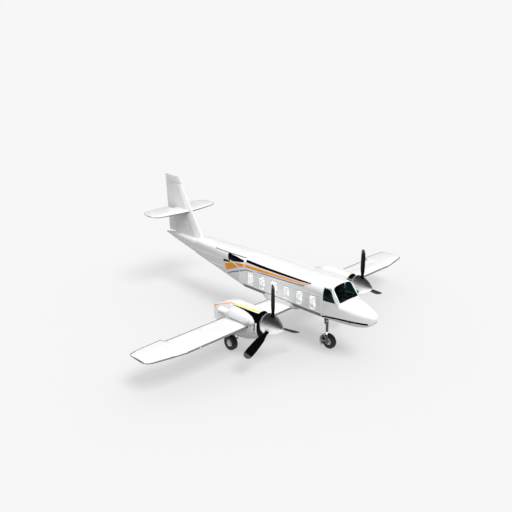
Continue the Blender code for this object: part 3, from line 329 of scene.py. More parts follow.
# grey painted shade for the edge outlines of wings and tail surfaces
edgeShadeTone = paint("edgeBoot", (0.20, 0.20, 0.205), 0.6, 0.1)
seamTone = paint("panelJoint", (0.33, 0.33, 0.34), 0.6, 0.2, 0.0)
sealTone = finish("windowSeal", "rubber", (0.84, 0.845, 0.85), 0.5, Dust=0.08)
blackSeal = finish("blackSeal", "rubber", (0.02, 0.02, 0.02), 0.65, Dust=0.2)
tyreRubber = finish("tyreRubber", "rubber", (0.014, 0.014, 0.015), 0.72, Dust=0.25)
polished = metal("polishedMetal", (0.96, 0.96, 0.97), 0.50, 0.05, Grain=(1.5, 1.5, 1.5))
steelTone = metal("forgedSteel", (0.52, 0.52, 0.54), 0.32, 0.25)
chrome = metal("chromePiston", (0.85, 0.85, 0.86), 0.06, 0.05)
gearGrey = paint("gearPaint", (0.60, 0.61, 0.62), 0.4, 0.6, 0.3)
guardWhite = paint("guardPaint", (0.95, 0.95, 0.95), 0.45, 0.15, 0.2)
exhaustTone = finish("heatedSteel", "metal", (0.97, 0.965, 0.95), 0.5, Stain=0.08)
engineTone = finish("engineCasing", "metal", (0.36, 0.36, 0.37), 0.45, metallic=0.9, Stain=0.5)
bladeBlack = paint("bladeBlack", (0.002, 0.002, 0.003), 0.50, 0.02, 0.2, gloss=0.04)
darkGlass = glassy("tintedGlass", (0.002, 0.006, 0.008), 0.04, coat=0.05, alpha=0.93, gloss=0.15)
screenGlass = glassy("screenGlass", (0.002, 0.008, 0.010), 0.04, coat=0.4, alpha=0.14)
clearGlass = glassy("cabinGlass", (0.93, 0.94, 0.94), 0.03, coat=0.4, alpha=0.40)
seatCloth = finish("seatCloth", "cloth", (0.80, 0.81, 0.815), 0.85, sheen=0.3)
seatTeal = finish("seatShell", "cloth", (0.012, 0.05, 0.055), 0.7, sheen=0.2, Threads=180.0)
carpet = finish("cabinCarpet", "cloth", (0.80, 0.80, 0.79), 0.95, sheen=0.2, Threads=120.0)
panelBlack = paint("panelBlack", (0.03, 0.032, 0.035), 0.6, 0.1, 0.6)
dialFace = glassy("dialFace", (0.01, 0.012, 0.014), 0.15, coat=0.5)
redLens = glassy("redLens", (0.60, 0.01, 0.01), 0.08, coat=0.6, glow=(0.6, 0.02, 0.02))
greenLens = glassy("greenLens", (0.01, 0.42, 0.10), 0.08, coat=0.6, glow=(0.02, 0.5, 0.1))
clearLens = glassy("clearLens", (0.75, 0.77, 0.78), 0.05, coat=0.6)
print("finishes are made")


# mesh tools

def smooth(piece, sharp=30):
    piece.data.shade_smooth()
    piece.data.set_sharp_from_angle(angle=radians(sharp))
    return piece


def around(turns):  # angles of a full circle
    return [2 * pi * k / turns for k in range(turns)]


# closed joins the last ring to the first, as round a frame
def loft(name, rings, tone, closed=False, sharp=30):
    count = len(rings[0])
    faces = []
    for row in range(len(rings) if closed else len(rings) - 1):
        ahead = (row + 1) % len(rings)
        for i in range(count):
            j = (i + 1) % count
            faces.append((row * count + i, row * count + j, ahead * count + j, ahead * count + i))
    if not closed:
        faces.append(tuple(reversed(range(count))))
        faces.append(tuple(range((len(rings) - 1) * count, len(rings) * count)))
    mesh = bpy.data.meshes.new(name)
    mesh.from_pydata([tuple(p) for ring in rings for p in ring], [], faces)
    mesh.materials.append(tone)
    work = bmesh.new()
    work.from_mesh(mesh)
    bmesh.ops.recalc_face_normals(work, faces=work.faces)
    work.to_mesh(mesh)
    work.free()
    return smooth(addObject(name, mesh), sharp)


def slab(name, outline, depth, place, tone):
    return loft(name, [[place(u, v, w) for u, v in outline] for w in depth], tone)


def boxPiece(name, low, high, tone, bevel=0.0, steps=2):
    corners = [(low[0], low[1]), (high[0], low[1]), (high[0], high[1]), (low[0], high[1])]
    made = slab(name, corners, (low[2], high[2]), lambda u, v, w: (u, v, w), tone)
    if bevel:
        rounding = made.modifiers.new("rounding", "BEVEL")
        rounding.width = bevel
        rounding.segments = steps
        settle(made)
    return made


def settle(piece):
    held = bpy.context.evaluated_depsgraph_get()
    fresh = bpy.data.meshes.new_from_object(piece.evaluated_get(held))
    piece.modifiers.clear()
    piece.data = fresh
    fresh.name = piece.name
    return smooth(piece)


def carve(piece, *tools, how="DIFFERENCE", sharp=30):
    for tool in tools:
        change = piece.modifiers.new("carve", "BOOLEAN")
        change.operation = how
        change.solver = "EXACT"
        change.object = tool
        change.material_mode = "TRANSFER"
    bpy.context.view_layer.update()
    settle(piece)
    for tool in tools:
        bpy.data.objects.remove(tool)
    return smooth(piece, sharp)


def gather(name, parts):  # one piece from several, materials kept
    tones, work = [], bmesh.new()
    for part in parts:
        index = []
        for tone in part.data.materials:
            if tone not in tones:
                tones.append(tone)
            index.append(tones.index(tone))
        start = len(work.faces)
        work.from_mesh(part.data)
        work.faces.ensure_lookup_table()
        for face in work.faces[start:]:
            face.material_index = index[face.material_index] if index else 0
        bpy.data.objects.remove(part)
    mesh = bpy.data.meshes.new(name)
    work.to_mesh(mesh)
    work.free()
    for tone in tones:
        mesh.materials.append(tone)
    return smooth(addObject(name, mesh))


def frameOf(axis):
    axis = Vector(axis).normalized()
    side = axis.orthogonal().normalized() if abs(axis.z) > 0.9 else Vector(zAxis).cross(axis).normalized()
    return axis, side, axis.cross(side)


def lathe(name, profile, centre, axis, tone, turns=48, closed=False):
    axis, side, up = frameOf(axis)
    rings = []
    for along, radius in profile:
        rings.append([Vector(centre) + axis * along + (side * sin(t) + up * cos(t)) * radius
            for t in around(turns)])
    return loft(name, rings, tone, closed)


# a rod's ends are eased over this length to this share of its radius
rodEnd = {
    "length": 0.006, "share": 0.86,
}


def rod(name, start, end, radius, tone, turns=20):
    run = Vector(end) - Vector(start)
    ease, small = min(rodEnd["length"], run.length / 4), radius * rodEnd["share"]
    return lathe(name, [(0, small), (ease, radius), (run.length - ease, radius), (run.length, small)], start,
        run, tone, turns)


def tube(name, path, radius, tone, turns=10):  # round tube along a list of points
    path = [Vector(p) for p in path]
    rings, previous = [], None
    for i, point in enumerate(path):
        run = (path[min(i + 1, len(path) - 1)] - path[max(i - 1, 0)]).normalized()
        if previous is None:
            _, side, up = frameOf(run)
        else:
            side = (previous - run * previous.dot(run)).normalized()
            up = run.cross(side)
        previous = side
        rings.append([point + (side * cos(t) + up * sin(t)) * radius for t in around(turns)])
    return loft(name, rings, tone)


def roundedOutline(width, height, radius, footRadius=None, steps=8):
    outline = []
    lower = radius if footRadius is None else footRadius
    for corner, (sx, sy) in enumerate([(1, 1), (-1, 1), (-1, -1), (1, -1)]):
        r = radius if sy > 0 else lower
        for k in range(steps + 1):
            turn = pi / 2 * (corner + k / steps)
            outline.append((sx * (width / 2 - r) + r * cos(turn), sy * (height / 2 - r) + r * sin(turn)))
    return outline


def offsetOutline(outline, amount):  # move each corner of an outline outwards
    count = len(outline)
    area = sum(outline[i][0] * outline[(i + 1) % count][1] - outline[(i + 1) % count][0] * outline[i][1]
        for i in range(count))
    sign = -1 if area > 0 else 1
    moved = []
    for i in range(count):
        here = Vector(outline[i])
        before = (here - Vector(outline[i - 1])).normalized()
        after = (Vector(outline[(i + 1) % count]) - here).normalized()
        n1, n2 = (Vector((-v.y, v.x)) * sign for v in (before, after))
        middle = (n1 + n2).normalized()
        moved.append(tuple(here + middle * amount / max(middle.dot(n1), 0.3)))
    return moved


def trimRing(name, outline, profile, place, tone):  # strip of constant section round an opening
    rings = [[place(u, v, w) for u, v in offsetOutline(outline, grow)] for grow, w in profile]
    return loft(name, rings, tone, closed=True, sharp=40)


def curveThrough(rows, tip=None):  # monotone cubic through each column of a table, for smooth skins
    at = [sqrt(max(row[0] - tip, 0.0)) if tip is not None else row[0] for row in rows]
    gaps = [b - a for a, b in zip(at, at[1:])]
    columns = []
    for k in range(1, len(rows[0])):
        value = [row[k] for row in rows]
        secant = [(b - a) / g for a, b, g in zip(value, value[1:], gaps)]
        slope = [secant[0]]
        for i in range(1, len(rows) - 1):
            if secant[i - 1] * secant[i] <= 0:
                slope.append(0.0)
            else:
                w1, w2 = 2 * gaps[i] + gaps[i - 1], gaps[i] + 2 * gaps[i - 1]
                slope.append((w1 + w2) / (w1 / secant[i - 1] + w2 / secant[i]))
        slope.append(secant[-1])
        columns.append((value, slope))

    def valuesAt(position):
        s = sqrt(max(position - tip, 0.0)) if tip is not None else position
        s = min(max(s, at[0]), at[-1])
        i = max(k for k in range(len(gaps)) if at[k] <= s + 1e-12)
        t = (s - at[i]) / gaps[i]
        found = []
        for value, slope in columns:
            found.append(value[i] * (1 + 2 * t) * (1 - t) ** 2 + slope[i] * gaps[i] * t * (1 - t) ** 2
                + value[i + 1] * t * t * (3 - 2 * t) + slope[i + 1] * gaps[i] * t * t * (t - 1))
        return found
    return valuesAt


def geometryTree(name, incoming=None, finished=True, **values):  # named inputs, whole numbers as counts
    tree = bpy.data.node_groups.new(name, "GeometryNodeTree")
    rows = [(incoming, "NodeSocketGeometry")] if incoming else []
    rows += [(label, "NodeSocketInt" if isinstance(value, int) else numberKind)
        for label, value in values.items()]
    rows += [("Finish", "NodeSocketMaterial")] if finished else []
    for label, kind in rows:
        socket = tree.interface.new_socket(name=label, in_out="INPUT", socket_type=kind)
        if label in values:
            socket.default_value = values[label]
    tree.interface.new_socket(name="Geometry", in_out="OUTPUT", socket_type="NodeSocketGeometry")
    return tree, tree.nodes.new("NodeGroupInput").outputs, tree.nodes.new("NodeGroupOutput").inputs[0]


def grow(name, tree, tone, base=None, **values):  # run a geometry tree and keep its result as a plain mesh
    holder = addObject(name + "Seed", base or bpy.data.meshes.new(name + "Seed"))
    change = holder.modifiers.new("grow", "NODES")
    change.node_group = tree
    given = dict(values, Finish=tone)
    for item in tree.interface.items_tree:
        if item.in_out == "INPUT" and item.name in given:
            change[item.identifier] = given[item.name]
    bpy.context.view_layer.update()
    held = bpy.context.evaluated_depsgraph_get()
    fresh = bpy.data.meshes.new_from_object(holder.evaluated_get(held))
    holder.modifiers.clear()
    bpy.data.objects.remove(holder)
    return smooth(addObject(name, fresh))


def scatter(tree, given, out, points, item):  # an item on each point, as real faces with their finish
    put = nodeOut(tree, "GeometryNodeInstanceOnPoints", {"Points": points, "Instance": item})
    real = nodeOut(tree, "GeometryNodeRealizeInstances", {0: put})
    done = nodeOut(tree, "GeometryNodeSetMaterial", {"Geometry": real, "Material": given["Finish"]})
    tree.links.new(done, out)
    return tree


def boltRingTree():  # bolts on a circle about Z
    tree, given, out = geometryTree("boltRing", Count=8, Circle=0.1, Size=0.01, Height=0.01, Sides=6)
    ring = nodeOut(tree, "GeometryNodeMeshCircle", {"Vertices": given["Count"], "Radius": given["Circle"]})
    bolt = nodeOut(tree, "GeometryNodeMeshCylinder", {"Vertices": given["Sides"], "Radius": given["Size"],
        "Depth": given["Height"]})
    return scatter(tree, given, out, ring, bolt)


def rivetRowTree():  # round heads spaced along the edges of a mesh
    tree, given, out = geometryTree("rivetRow", "Path", Spacing=0.05, Size=0.004)
    curve = nodeOut(tree, "GeometryNodeMeshToCurve", {0: given["Path"]})
    spaced = nodeOut(tree, "GeometryNodeResampleCurve", {0: curve, 3: given["Spacing"]}, mode="LENGTH")
    head = nodeOut(tree, "GeometryNodeMeshIcoSphere", {"Radius": given["Size"], "Subdivisions": 1})
    return scatter(tree, given, out, spaced, head)


def softNodeTree():  # welds a solid's loose triangles and shades it smooth between its real edges
    tree, given, out = geometryTree("softNode", "Solid", False, Crease=0.55)
    weld = nodeOut(tree, "GeometryNodeMergeByDistance", {"Geometry": given["Solid"], "Distance": 0.0002})
    angle = nodeOut(tree, "GeometryNodeInputMeshEdgeAngle", {})
    hard = nodeOut(tree, "FunctionNodeCompare", {0: angle, 1: given["Crease"]}, operation="GREATER_THAN")
    faces = nodeOut(tree, "GeometryNodeSetShadeSmooth", {"Geometry": weld, "Shade Smooth": True},
        domain="FACE")
    tree.links.new(nodeOut(tree, "GeometryNodeSetShadeSmooth",
        {"Geometry": faces, "Selection": hard, "Shade Smooth": False}, domain="EDGE"), out)
    return tree


boltRing, rivetRow, softNode = boltRingTree(), rivetRowTree(), softNodeTree()


def boltCircle(name, centre, axis, tone, **values):
    made = grow(name, boltRing, tone, **values)
    axis, side, up = frameOf(axis)
    place = Matrix((side, up, axis)).transposed().to_4x4()
    place.translation = Vector(centre)
    made.data.transform(place)
    return made


def dress(name, tone):  # a CAD node that keeps its shape and gets its finish
    node = nodes[name]
    node.data.materials.clear()
    node.data.materials.append(tone)
    node.modifiers.new("soft", "NODES").node_group = softNode


def attach(piece, body, slotName, *replaced):
    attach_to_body(piece, body)
    if replaced:
        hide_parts(*replaced)
    return piece


def clad(piece, node):  # a skin on the airframe in place of a solid
    attach(piece, "airframe", "white_paint", node)


def fit(name, parts, slotName="white_paint"):  # details on the airframe that stand for no solid
    return attach(gather(name, parts), "airframe", slotName)


# width of the grey painted shade line along the edges, and how much wider it is at the back
edgeShadeWidth = {
    "wing": 0.04, "tail": 0.03, "aft": 1.4,
}


def paintEdgeShade(piece, outlineAt, reach, tip):
    # paints a grey strip of painted shade along the leading edge, the trailing edge and the tip of a lofted
    # surface, an outline where the surface turns edge-on
    piece.data.materials.append(edgeShadeTone)
    index = len(piece.data.materials) - 1
    for face in piece.data.polygons:
        span = abs(face.center.x)
        lead, trail = outlineAt(min(span, tip))[:2]
        if face.center.y < lead + reach or face.center.y > trail - reach * edgeShadeWidth["aft"] or span > tip - reach:
            face.material_index = index


def insideOutline(y, z, outline):
    inside = False
    for (ay, az), (by, bz) in zip(outline, outline[1:] + outline[:1]):
        if (az > z) != (bz > z) and y < (by - ay) * (z - az) / (bz - az) + ay:
            inside = not inside
    return inside


def paintShapes(piece, shapes, base, side=0):
    # cuts the skin along each outline, drawn from the side in (y, z), and paints the faces inside it
    mesh = piece.data
    work = bmesh.new()
    work.from_mesh(mesh)
    painted = {list(mesh.materials).index(base)}
    for outline, tone in shapes:
        if tone.name not in mesh.materials:
            mesh.materials.append(tone)
        index = list(mesh.materials).index(tone)
        low = [min(p[k] for p in outline) - 0.02 for k in (0, 1)]
        high = [max(p[k] for p in outline) + 0.02 for k in (0, 1)]
        for (ay, az), (by, bz) in zip(outline, outline[1:] + outline[:1]):
            near = []
            for face in work.faces:
                ys, zs = [v.co.y for v in face.verts], [v.co.z for v in face.verts]
                if max(ys) > low[0] and min(ys) < high[0] and max(zs) > low[1] and min(zs) < high[1]:
                    near.append(face)
            if not near:
                break
            around = list({v for f in near for v in f.verts} | {e for f in near for e in f.edges}) + near
            bmesh.ops.bisect_plane(work, geom=around, dist=1e-6, plane_co=(0, ay, az),
                plane_no=(0, bz - az, ay - by))
        for face in work.faces:
            x, y, z = face.calc_center_median()
            if face.material_index in painted and x * side >= 0 and insideOutline(y, z, outline):
                face.material_index = index
        painted.add(index)
    work.to_mesh(mesh)
    work.free()
    return smooth(piece)


print("mesh tools are ready")


# fuselage

cockpitTone = paint("cockpitLining", (0.006, 0.010, 0.013), 0.7, 0.05, 0.5)
# pale blue-grey painted reflection of the windshield on the corner strip, also the side pane's frame
frameAndReflectionTone = paint("cornerTrim", (0.56, 0.62, 0.64), 0.3, 0.1, coat=0.3)
hull = {
    "rows": [
        (-6.86, 0.012, 2.150, 2.154, 2.158, 2.166), (-6.82, 0.150, 2.010, 2.080, 2.180, 2.270),
        (-6.70, 0.260, 1.880, 1.990, 2.180, 2.350), (-6.50, 0.380, 1.810, 1.940, 2.190, 2.420),
        (-6.19, 0.510, 1.777, 1.920, 2.220, 2.500), (-5.87, 0.610, 1.777, 1.920, 2.270, 2.575),
        (-5.46, 0.700, 1.777, 1.929, 2.360, 2.640), (-5.42, 0.707, 1.777, 1.929, 2.550, 2.950),
        (-5.25, 0.733, 1.777, 1.929, 2.720, 3.200), (-4.99, 0.770, 1.777, 1.929, 2.800, 3.245),
        (-4.617, 0.800, 1.777, 1.929, 2.840, 3.258), (-3.90, 0.817, 1.777, 1.929, 2.850, 3.262),
        (0.05, 0.817, 1.777, 1.929, 2.850, 3.262), (0.32, 0.817, 1.850, 1.960, 2.850, 3.262),
        (3.90, 0.470, 2.370, 2.430, 2.860, 3.165)],
    "coneRows": [
        (3.90, 0.450, 2.385, 2.440, 2.800, 3.030), (5.40, 0.270, 2.585, 2.630, 2.840, 2.975),
        (6.30, 0.140, 2.705, 2.730, 2.810, 2.895), (6.86, 0.040, 2.775, 2.785, 2.800, 2.830)],
    "noseRows": 7,
    "nose": -6.86, "cockpit": -5.46, "cabin": -4.617, "tail": 0.32, "cone": 3.90, "end": 6.86,
    "flat": 0.92, "power": 2.6, "shoulder": 20, "corner": 0.05, "wall": 0.03, "gap": 0.0006, "belly": 1.777,
}
noseShape = curveThrough(hull["rows"][:hull["noseRows"]], tip=hull["nose"])
mainShape = curveThrough(hull["rows"][hull["noseRows"] - 1:])
coneShape = curveThrough(hull["coneRows"])


def hullShape(y):
    if y > hull["tail"]:  # straight taper behind the cabin
        share = (y - hull["tail"]) / (hull["cone"] - hull["tail"])
        return [a + (b - a) * share for a, b in zip(hull["rows"][-2][1:], hull["rows"][-1][1:])]
    return noseShape(y) if y < hull["cockpit"] else mainShape(y)


def softCorners(points, reach, steps=4):
    soft = [points[0]]
    for before, here, after in zip(points, points[1:], points[2:]):
        ends = []
        for other in (before, after):
            run = Vector(other) - Vector(here)
            ends.append(Vector(here) + run * min(reach / max(run.length, 1e-6), 0.4))
        for k in range(steps + 1):
            t = k / steps
            soft.append(tuple(ends[0] * (1 - t) ** 2 + Vector(here) * 2 * t * (1 - t) + ends[1] * t * t))
    return soft + [points[-1]]


def hullRing(y, grow=0.0, shape=hullShape):
    half, belly, chine, shoulder, crown = shape(y)
    out, low, high = half + grow, belly - grow, crown + grow
    flat, foot = half * hull["flat"] + grow * 0.4, chine - grow * 0.4
    right = softCorners([(0.0, low), (flat, low), (out, foot), (out, shoulder)], hull["corner"])
    for k in range(1, hull["shoulder"]):
        turn = pi / 2 * k / hull["shoulder"]
        right.append((out * cos(turn) ** (2 / hull["power"]),
            shoulder + (high - shoulder) * sin(turn) ** (2 / hull["power"])))
    left = [(-x, z) for x, z in reversed(right[1:])]
    return [(x, y, z) for x, z in right + [(0.0, high)] + left]


def spread(start, end, step):
    count = max(2, ceil((end - start) / step))
    return [start + (end - start) * k / count for k in range(count + 1)]


def hullBody(name, stations, tone, grow=0.0, shape=hullShape):
    return loft(name, [hullRing(y, grow, shape) for y in stations], tone)


def throughSide(side):  # outlines drawn from the side in (y, z)
    return lambda u, v, w: (w * side, u, v)


def fromFront(u, v, w):  # outlines drawn from the front in (x, z)
    return (u, w, v)


def sideTool(name, outline, depth, tone, side=1):
    return slab(name, outline, depth, throughSide(side), tone)


def roundCorners(outline, radius):
    return softCorners([outline[-1], *outline, outline[0]], radius, 5)[1:-1]


screen = {
    "foot": (-5.457, 2.592), "head": (-4.990, 3.219), "post": 0.014, "low": 0.025, "round": 0.025,
    "rim": [(0.56, 0.655), (0.485, 0.708), (0.30, 0.745)],
}
screenFoot = Vector((0, *screen["foot"]))
screenRise = (Vector((0, *screen["head"])) - screenFoot).normalized()
screenOut = Vector((0, -screenRise.z, screenRise.y))


def onScreen(u, v, w):
    return screenFoot + Vector((u, 0, 0)) + screenRise * v + screenOut * w


def paneOutline(side):
    pane = [(screen["post"], screen["low"]), (0.6, screen["low"]), *screen["rim"], (screen["post"], 0.758)]
    return roundCorners([(side * u, v) for u, v in pane], screen["round"])


def airBlock(depth, tone):
    return slab("air", [(-1.2, -0.02), (1.2, -0.02), (1.2, 1.2), (-1.2, 1.2)], (depth, depth + 1.0), onScreen,
        tone)


sidePane = roundCorners([(-4.70, 2.585), (-4.70, 3.13), (-4.99, 3.13), (-5.06, 3.08), (-5.285, 2.625),
    (-5.25, 2.595)], 0.03)
cabin = {"pitch": 0.7486, "aft": -0.422, "count": 6, "size": (0.36, 0.60), "z": 2.3275, "corner": 0.12}
windowAt = [cabin["aft"] - cabin["pitch"] * k for k in range(cabin["count"])]


def windowOutline(y, growth=0.0):
    size = [v + 2 * growth for v in cabin["size"]]
    return [(y + u, cabin["z"] + v) for u, v in roundedOutline(*size, cabin["corner"] + growth)]


# livery, drawn from the side in (y, z)

def ribbon(path, width):
    upper, lower = [], []
    for i, (y, z) in enumerate(path):
        a, b = path[max(i - 1, 0)], path[min(i + 1, len(path) - 1)]
        run = Vector((b[0] - a[0], b[1] - a[1])).normalized()
        upper.append((y - run.y * width / 2, z + run.x * width / 2))
        lower.append((y + run.y * width / 2, z - run.x * width / 2))
    return upper + lower[::-1]


bandUnder = [(-0.10, 3.041), (-1.0, 3.018), (-1.63, 3.026), (-2.24, 3.031), (-2.83, 3.042), (-3.40, 3.050),
    (-3.98, 3.085)]
bandTop = [(-3.98, 3.118), (-3.34, 3.113), (-2.77, 3.111), (-2.17, 3.111), (-1.56, 3.112), (-0.92, 3.118),
    (-0.05, 3.135)]
stripeTop = [(-3.88, 3.055), (-3.40, 3.030), (-2.84, 3.012), (-2.25, 2.995), (-1.65, 2.978), (-1.03, 2.960),
    (-0.09, 2.936)]
stripeUnder = [(-0.10, 2.808), (-1.04, 2.835), (-1.67, 2.876), (-2.27, 2.914), (-2.86, 2.943), (-3.43, 2.974),
    (-3.91, 3.025)]
thinLine = [(-0.06, 2.671), (-0.72, 2.736), (-1.17, 2.774), (-1.67, 2.806), (-2.28, 2.838), (-2.87, 2.869),
    (-3.44, 2.911), (-3.69, 2.938)]
cabinShapes = [
    (thinLine + [(-3.91, 3.025), (-3.98, 3.085)] + bandUnder[-2::-1] + [(-0.05, 3.041)], lilac),
    (bandTop + bandUnder, black), (stripeTop + stripeUnder, orange), (ribbon(thinLine, 0.036), slate),
]
flare = [(1.48, 2.563), (1.329, 2.276), (0.733, 2.517), (0.422, 2.675), (0.20, 2.745), (-0.03, 2.785),
    (-0.02, 2.93), (0.421, 2.873), (0.961, 2.741)]
tailShapes = [
    ([(1.213, 2.158), (0.659, 2.388), (-0.06, 2.651), (-0.03, 2.80), (0.422, 2.675), (0.733, 2.517),
        (1.329, 2.276)], lilac),
    ([(1.281, 3.126), (1.116, 2.796), (0.0, 3.005), (0.05, 3.078), (0.62, 3.110)], black),
    (flare, orange),
    ([(1.554, 2.771), (1.558, 2.643), (0.96, 2.766), (1.195, 2.799)], black),
    (ribbon([(1.036, 2.844), (0.074, 2.624)], 0.065), white),
    (ribbon([(1.213, 2.158), (0.659, 2.388), (-0.06, 2.651)], 0.045), slate),
    (ribbon([(2.295, 3.098), (1.816, 3.109), (1.281, 3.126), (0.626, 3.155), (0.02, 3.173)], 0.022), slate),
]
noseShapes = [
    (ribbon([(-4.55, 1.815), (-4.86, 1.896), (-5.317, 1.951), (-5.764, 1.970), (-6.179, 1.973),
        (-6.652, 1.969)], 0.085), black),
    (ribbon([(-4.60, 1.790), (-5.0, 1.790), (-5.6, 1.790)], 0.024), orange),
]


# the flat sides of tail and cone are painted a greyer white as painted shade
shadedSide = [(0.30, 1.70), (0.30, 2.86), (1.30, 2.86), (1.30, 3.115), (2.30, 3.085), (3.90, 2.99),
    (5.40, 2.93), (7.0, 2.815), (7.0, 1.70)]


def hullSide(y, z):  # half width of the skin at a height above the chine
    ring = [(x, h) for x, _, h in hullRing(y) if x > 0 and h > hull["rows"][6][3]]
    for (x1, z1), (x2, z2) in zip(ring, ring[1:]):
        if z1 <= z <= z2:
            return x1 + (x2 - x1) * (z - z1) / max(z2 - z1, 1e-9)
    return ring[-1][0]


strip = {"steps": 24, "foot": 0.012, "rise": 0.70, "reach": 0.088, "least": 0.004, "lift": 0.003, "aft": 1.25}


def cornerTool(side, tone, depth=0.0):
    # takes the edge off the skin where a pale strip turns the corner to the windshield
    rings = []
    for k in range(strip["steps"] + 1):
        v = strip["foot"] + strip["rise"] * k / strip["steps"]
        spot = onScreen(0, v, 0)
        edge = hullSide(spot.y, spot.z)
        fade = sin(min(1.0, k / 3, (strip["steps"] - k) / 5) * pi / 2)  # narrows at both ends
        reach = max(min(strip["reach"], edge - 0.612 + 0.06 * v) * fade, strip["least"])
        # clear of the side pane
        aft = spot.y + min(reach * strip["aft"], 0.135 - 0.2503 * (spot.z - 2.625)) + depth
        reach += depth
        rings.append([onScreen(side * (edge - reach), v, strip["lift"]),
            (side * (hullSide(aft, spot.z) + strip["lift"]), aft, spot.z),
            onScreen(side * (edge + 0.1), v, 0.1)])
    return loft("cornerTool", rings, tone)


def fuselage():
    wall, gap = hull["wall"], hull["gap"]
    nose = hullBody("noseSkin", [hull["nose"] + (1.1832 * k / 30) ** 2
        for k in range(30)] + [hull["cockpit"] - gap], white)
    paintShapes(nose, noseShapes, white)
    clad(nose, "nose_cone")

    shell = hullBody("cockpitSkin", spread(hull["cockpit"], hull["cabin"], 0.03), white)
    # the corner cut faces on the outside are a pale blue-grey painted reflection of the glass
    carve(shell, airBlock(0.0, white), *[cornerTool(side, frameAndReflectionTone) for side, _ in sides])
    cavity = hullBody("cockpitCavity", spread(hull["cockpit"] + wall, hull["cabin"] + 0.05, 0.03),
        cockpitTone, -wall)
    carve(cavity, airBlock(-wall, cockpitTone), *[cornerTool(side, cockpitTone, 0.05) for side, _ in sides])
    holes = [slab("screenHole", paneOutline(side), (-0.2, 0.2), onScreen, blackSeal) for side, _ in sides]
    holes += [sideTool("sideHole", sidePane, (0.55, 1.2), blackSeal, side) for side, _ in sides]
    carve(shell, cavity, *holes)
    paintShapes(shell, noseShapes, white)
    clad(shell, "cockpit_shell")

    skin = hullBody("cabinSkin", spread(hull["cabin"] + gap, hull["tail"] - gap, 0.15), white)
    cavity = hullBody("cabinCavity", spread(hull["cabin"] - 0.05, hull["tail"] + 0.05, 0.3), lining, -wall)
    carve(skin, cavity, *[sideTool("windowHole", windowOutline(y), (-1.0, 1.0), lining) for y in windowAt])
    # the lower chamfer of the cabin is painted dark grey as painted shade
    chamfer = [(-4.612, 1.7), (-4.612, 1.972), (0.05, 1.972), (0.05, 1.7)]
    paintShapes(skin, cabinShapes + tailShapes + [(chamfer, bellyGrey)], white)
    clad(skin, "cabin_shell")

    skin = hullBody("tailSkin", spread(hull["tail"], hull["cone"] - gap, 0.12), white)
    cavity = hullBody("tailCavity", spread(hull["tail"] - 0.05, hull["cone"] - wall, 0.25), lining, -wall)
    carve(skin, cavity, sideTool("doorHole", doorOutline(door["gap"]), (0.4, 1.2), white))
    # painted shade on the flat tail sides, under the livery
    paintShapes(skin, [(shadedSide, sideWhite)] + tailShapes, white)
    clad(skin, "tail_shell")

    cone = hullBody("coneSkin", spread(hull["cone"], hull["end"], 0.12), white, 0.0, coneShape)
    # painted shade on the flat cone sides
    paintShapes(cone, [(shadedSide, sideWhite)], white)
    clad(cone, "tail_cone")


door = {
    "y": (0.44, 1.08), "z": (2.10, 3.02), "corners": (0.08, 0.02), "gap": 0.012, "steps": 3,
    "stepX": (0.640, 0.750), "stepLift": 0.14, "stepPitch": 0.26, "treads": 5, "treadPitch": 0.020,
    "rail": ((0.0, 2.22), (0.07, 2.24), (0.11, 2.34), (0.125, 2.70), (0.11, 2.84), (0.0, 2.86)),
    "railRadius": 0.009,
}


def doorOutline(growth=0.0):
    width, height = [b - a + 2 * growth for a, b in (door["y"], door["z"])]
    middle = (sum(door["y"]) / 2, sum(door["z"]) / 2)
    return [(middle[0] + u, middle[1] + v) for u, v in roundedOutline(width, height, *door["corners"])]


def airstair():
    stations = spread(door["y"][0] - 0.04, door["y"][1] + 0.04, 0.06)
    leaf = hullBody("doorLeaf", stations, white)
    carve(leaf, hullBody("doorBack", stations, lining, -hull["wall"]))
    carve(leaf, sideTool("doorEdge", doorOutline(), (0.5, 1.2), white), how="INTERSECT")
    paintShapes(leaf, tailShapes, white)
    parts = [leaf]
    fore, aft = door["y"]
    for k in range(door["steps"]):
        z = door["z"][0] + door["stepLift"] + door["stepPitch"] * k
        parts.append(boxPiece("step", (door["stepX"][0], fore + 0.1, z),
            (door["stepX"][1], aft - 0.12, z + 0.03), steelTone, 0.006))
        for row in range(door["treads"]):
            x = door["stepX"][0] + 0.008 + door["treadPitch"] * row
            parts.append(boxPiece("tread", (x, fore + 0.12, z + 0.029), (x + 0.01, aft - 0.14, z + 0.034),
                blackSeal, 0.002, 1))
    for y in (fore + 0.075, aft - 0.09):
        foot = hullShape(y)[0] - 0.02
        parts.append(tube("rail", [(foot - inset, y, z) for inset, z in door["rail"]], door["railRadius"],
            chrome))
    attach(gather("airstairDoor", parts), "airstair_door", "white_paint", "airstair_door")


airstair()
fuselage()
print("fuselage is skinned")


# wings

wing = {
    "z": 1.634, "lead": -2.926, "trail": -1.510, "half": 8.19, "tipFrom": 6.60, "hinge": -1.875,
    "swing": 0.008,
    "rows": [(0.0, -2.926, -1.510, 0.148), (3.54, -2.926, -1.510, 0.148), (6.52, -2.926, -1.510, 0.125)],
    "tipRows": [(6.60, -2.906, -1.300, 0.110), (7.60, -2.721, -1.345, 0.105), (8.02, -2.596, -1.400, 0.100),
        (8.14, -2.476, -1.490, 0.085), (8.19, -2.306, -1.630, 0.060)],
    "spans": {"flap_inboard": (0.93, 2.46), "flap_outboard": (3.55, 4.94), "aileron": (4.98, 6.50)},
}


def level(x, z, y=0.0):  # lays an outline of (chord, height) at one station of a wing
    return lambda c, t: (x, y + c, z + t)


def upright(z, y=0.0):
    return lambda c, t: (t, y + c, z)


def profileHalf(s, ratio):
    return 5 * ratio * (0.2969 * sqrt(s) - 0.126 * s - 0.3516 * s ** 2 + 0.2843 * s ** 3 - 0.1036 * s ** 4)


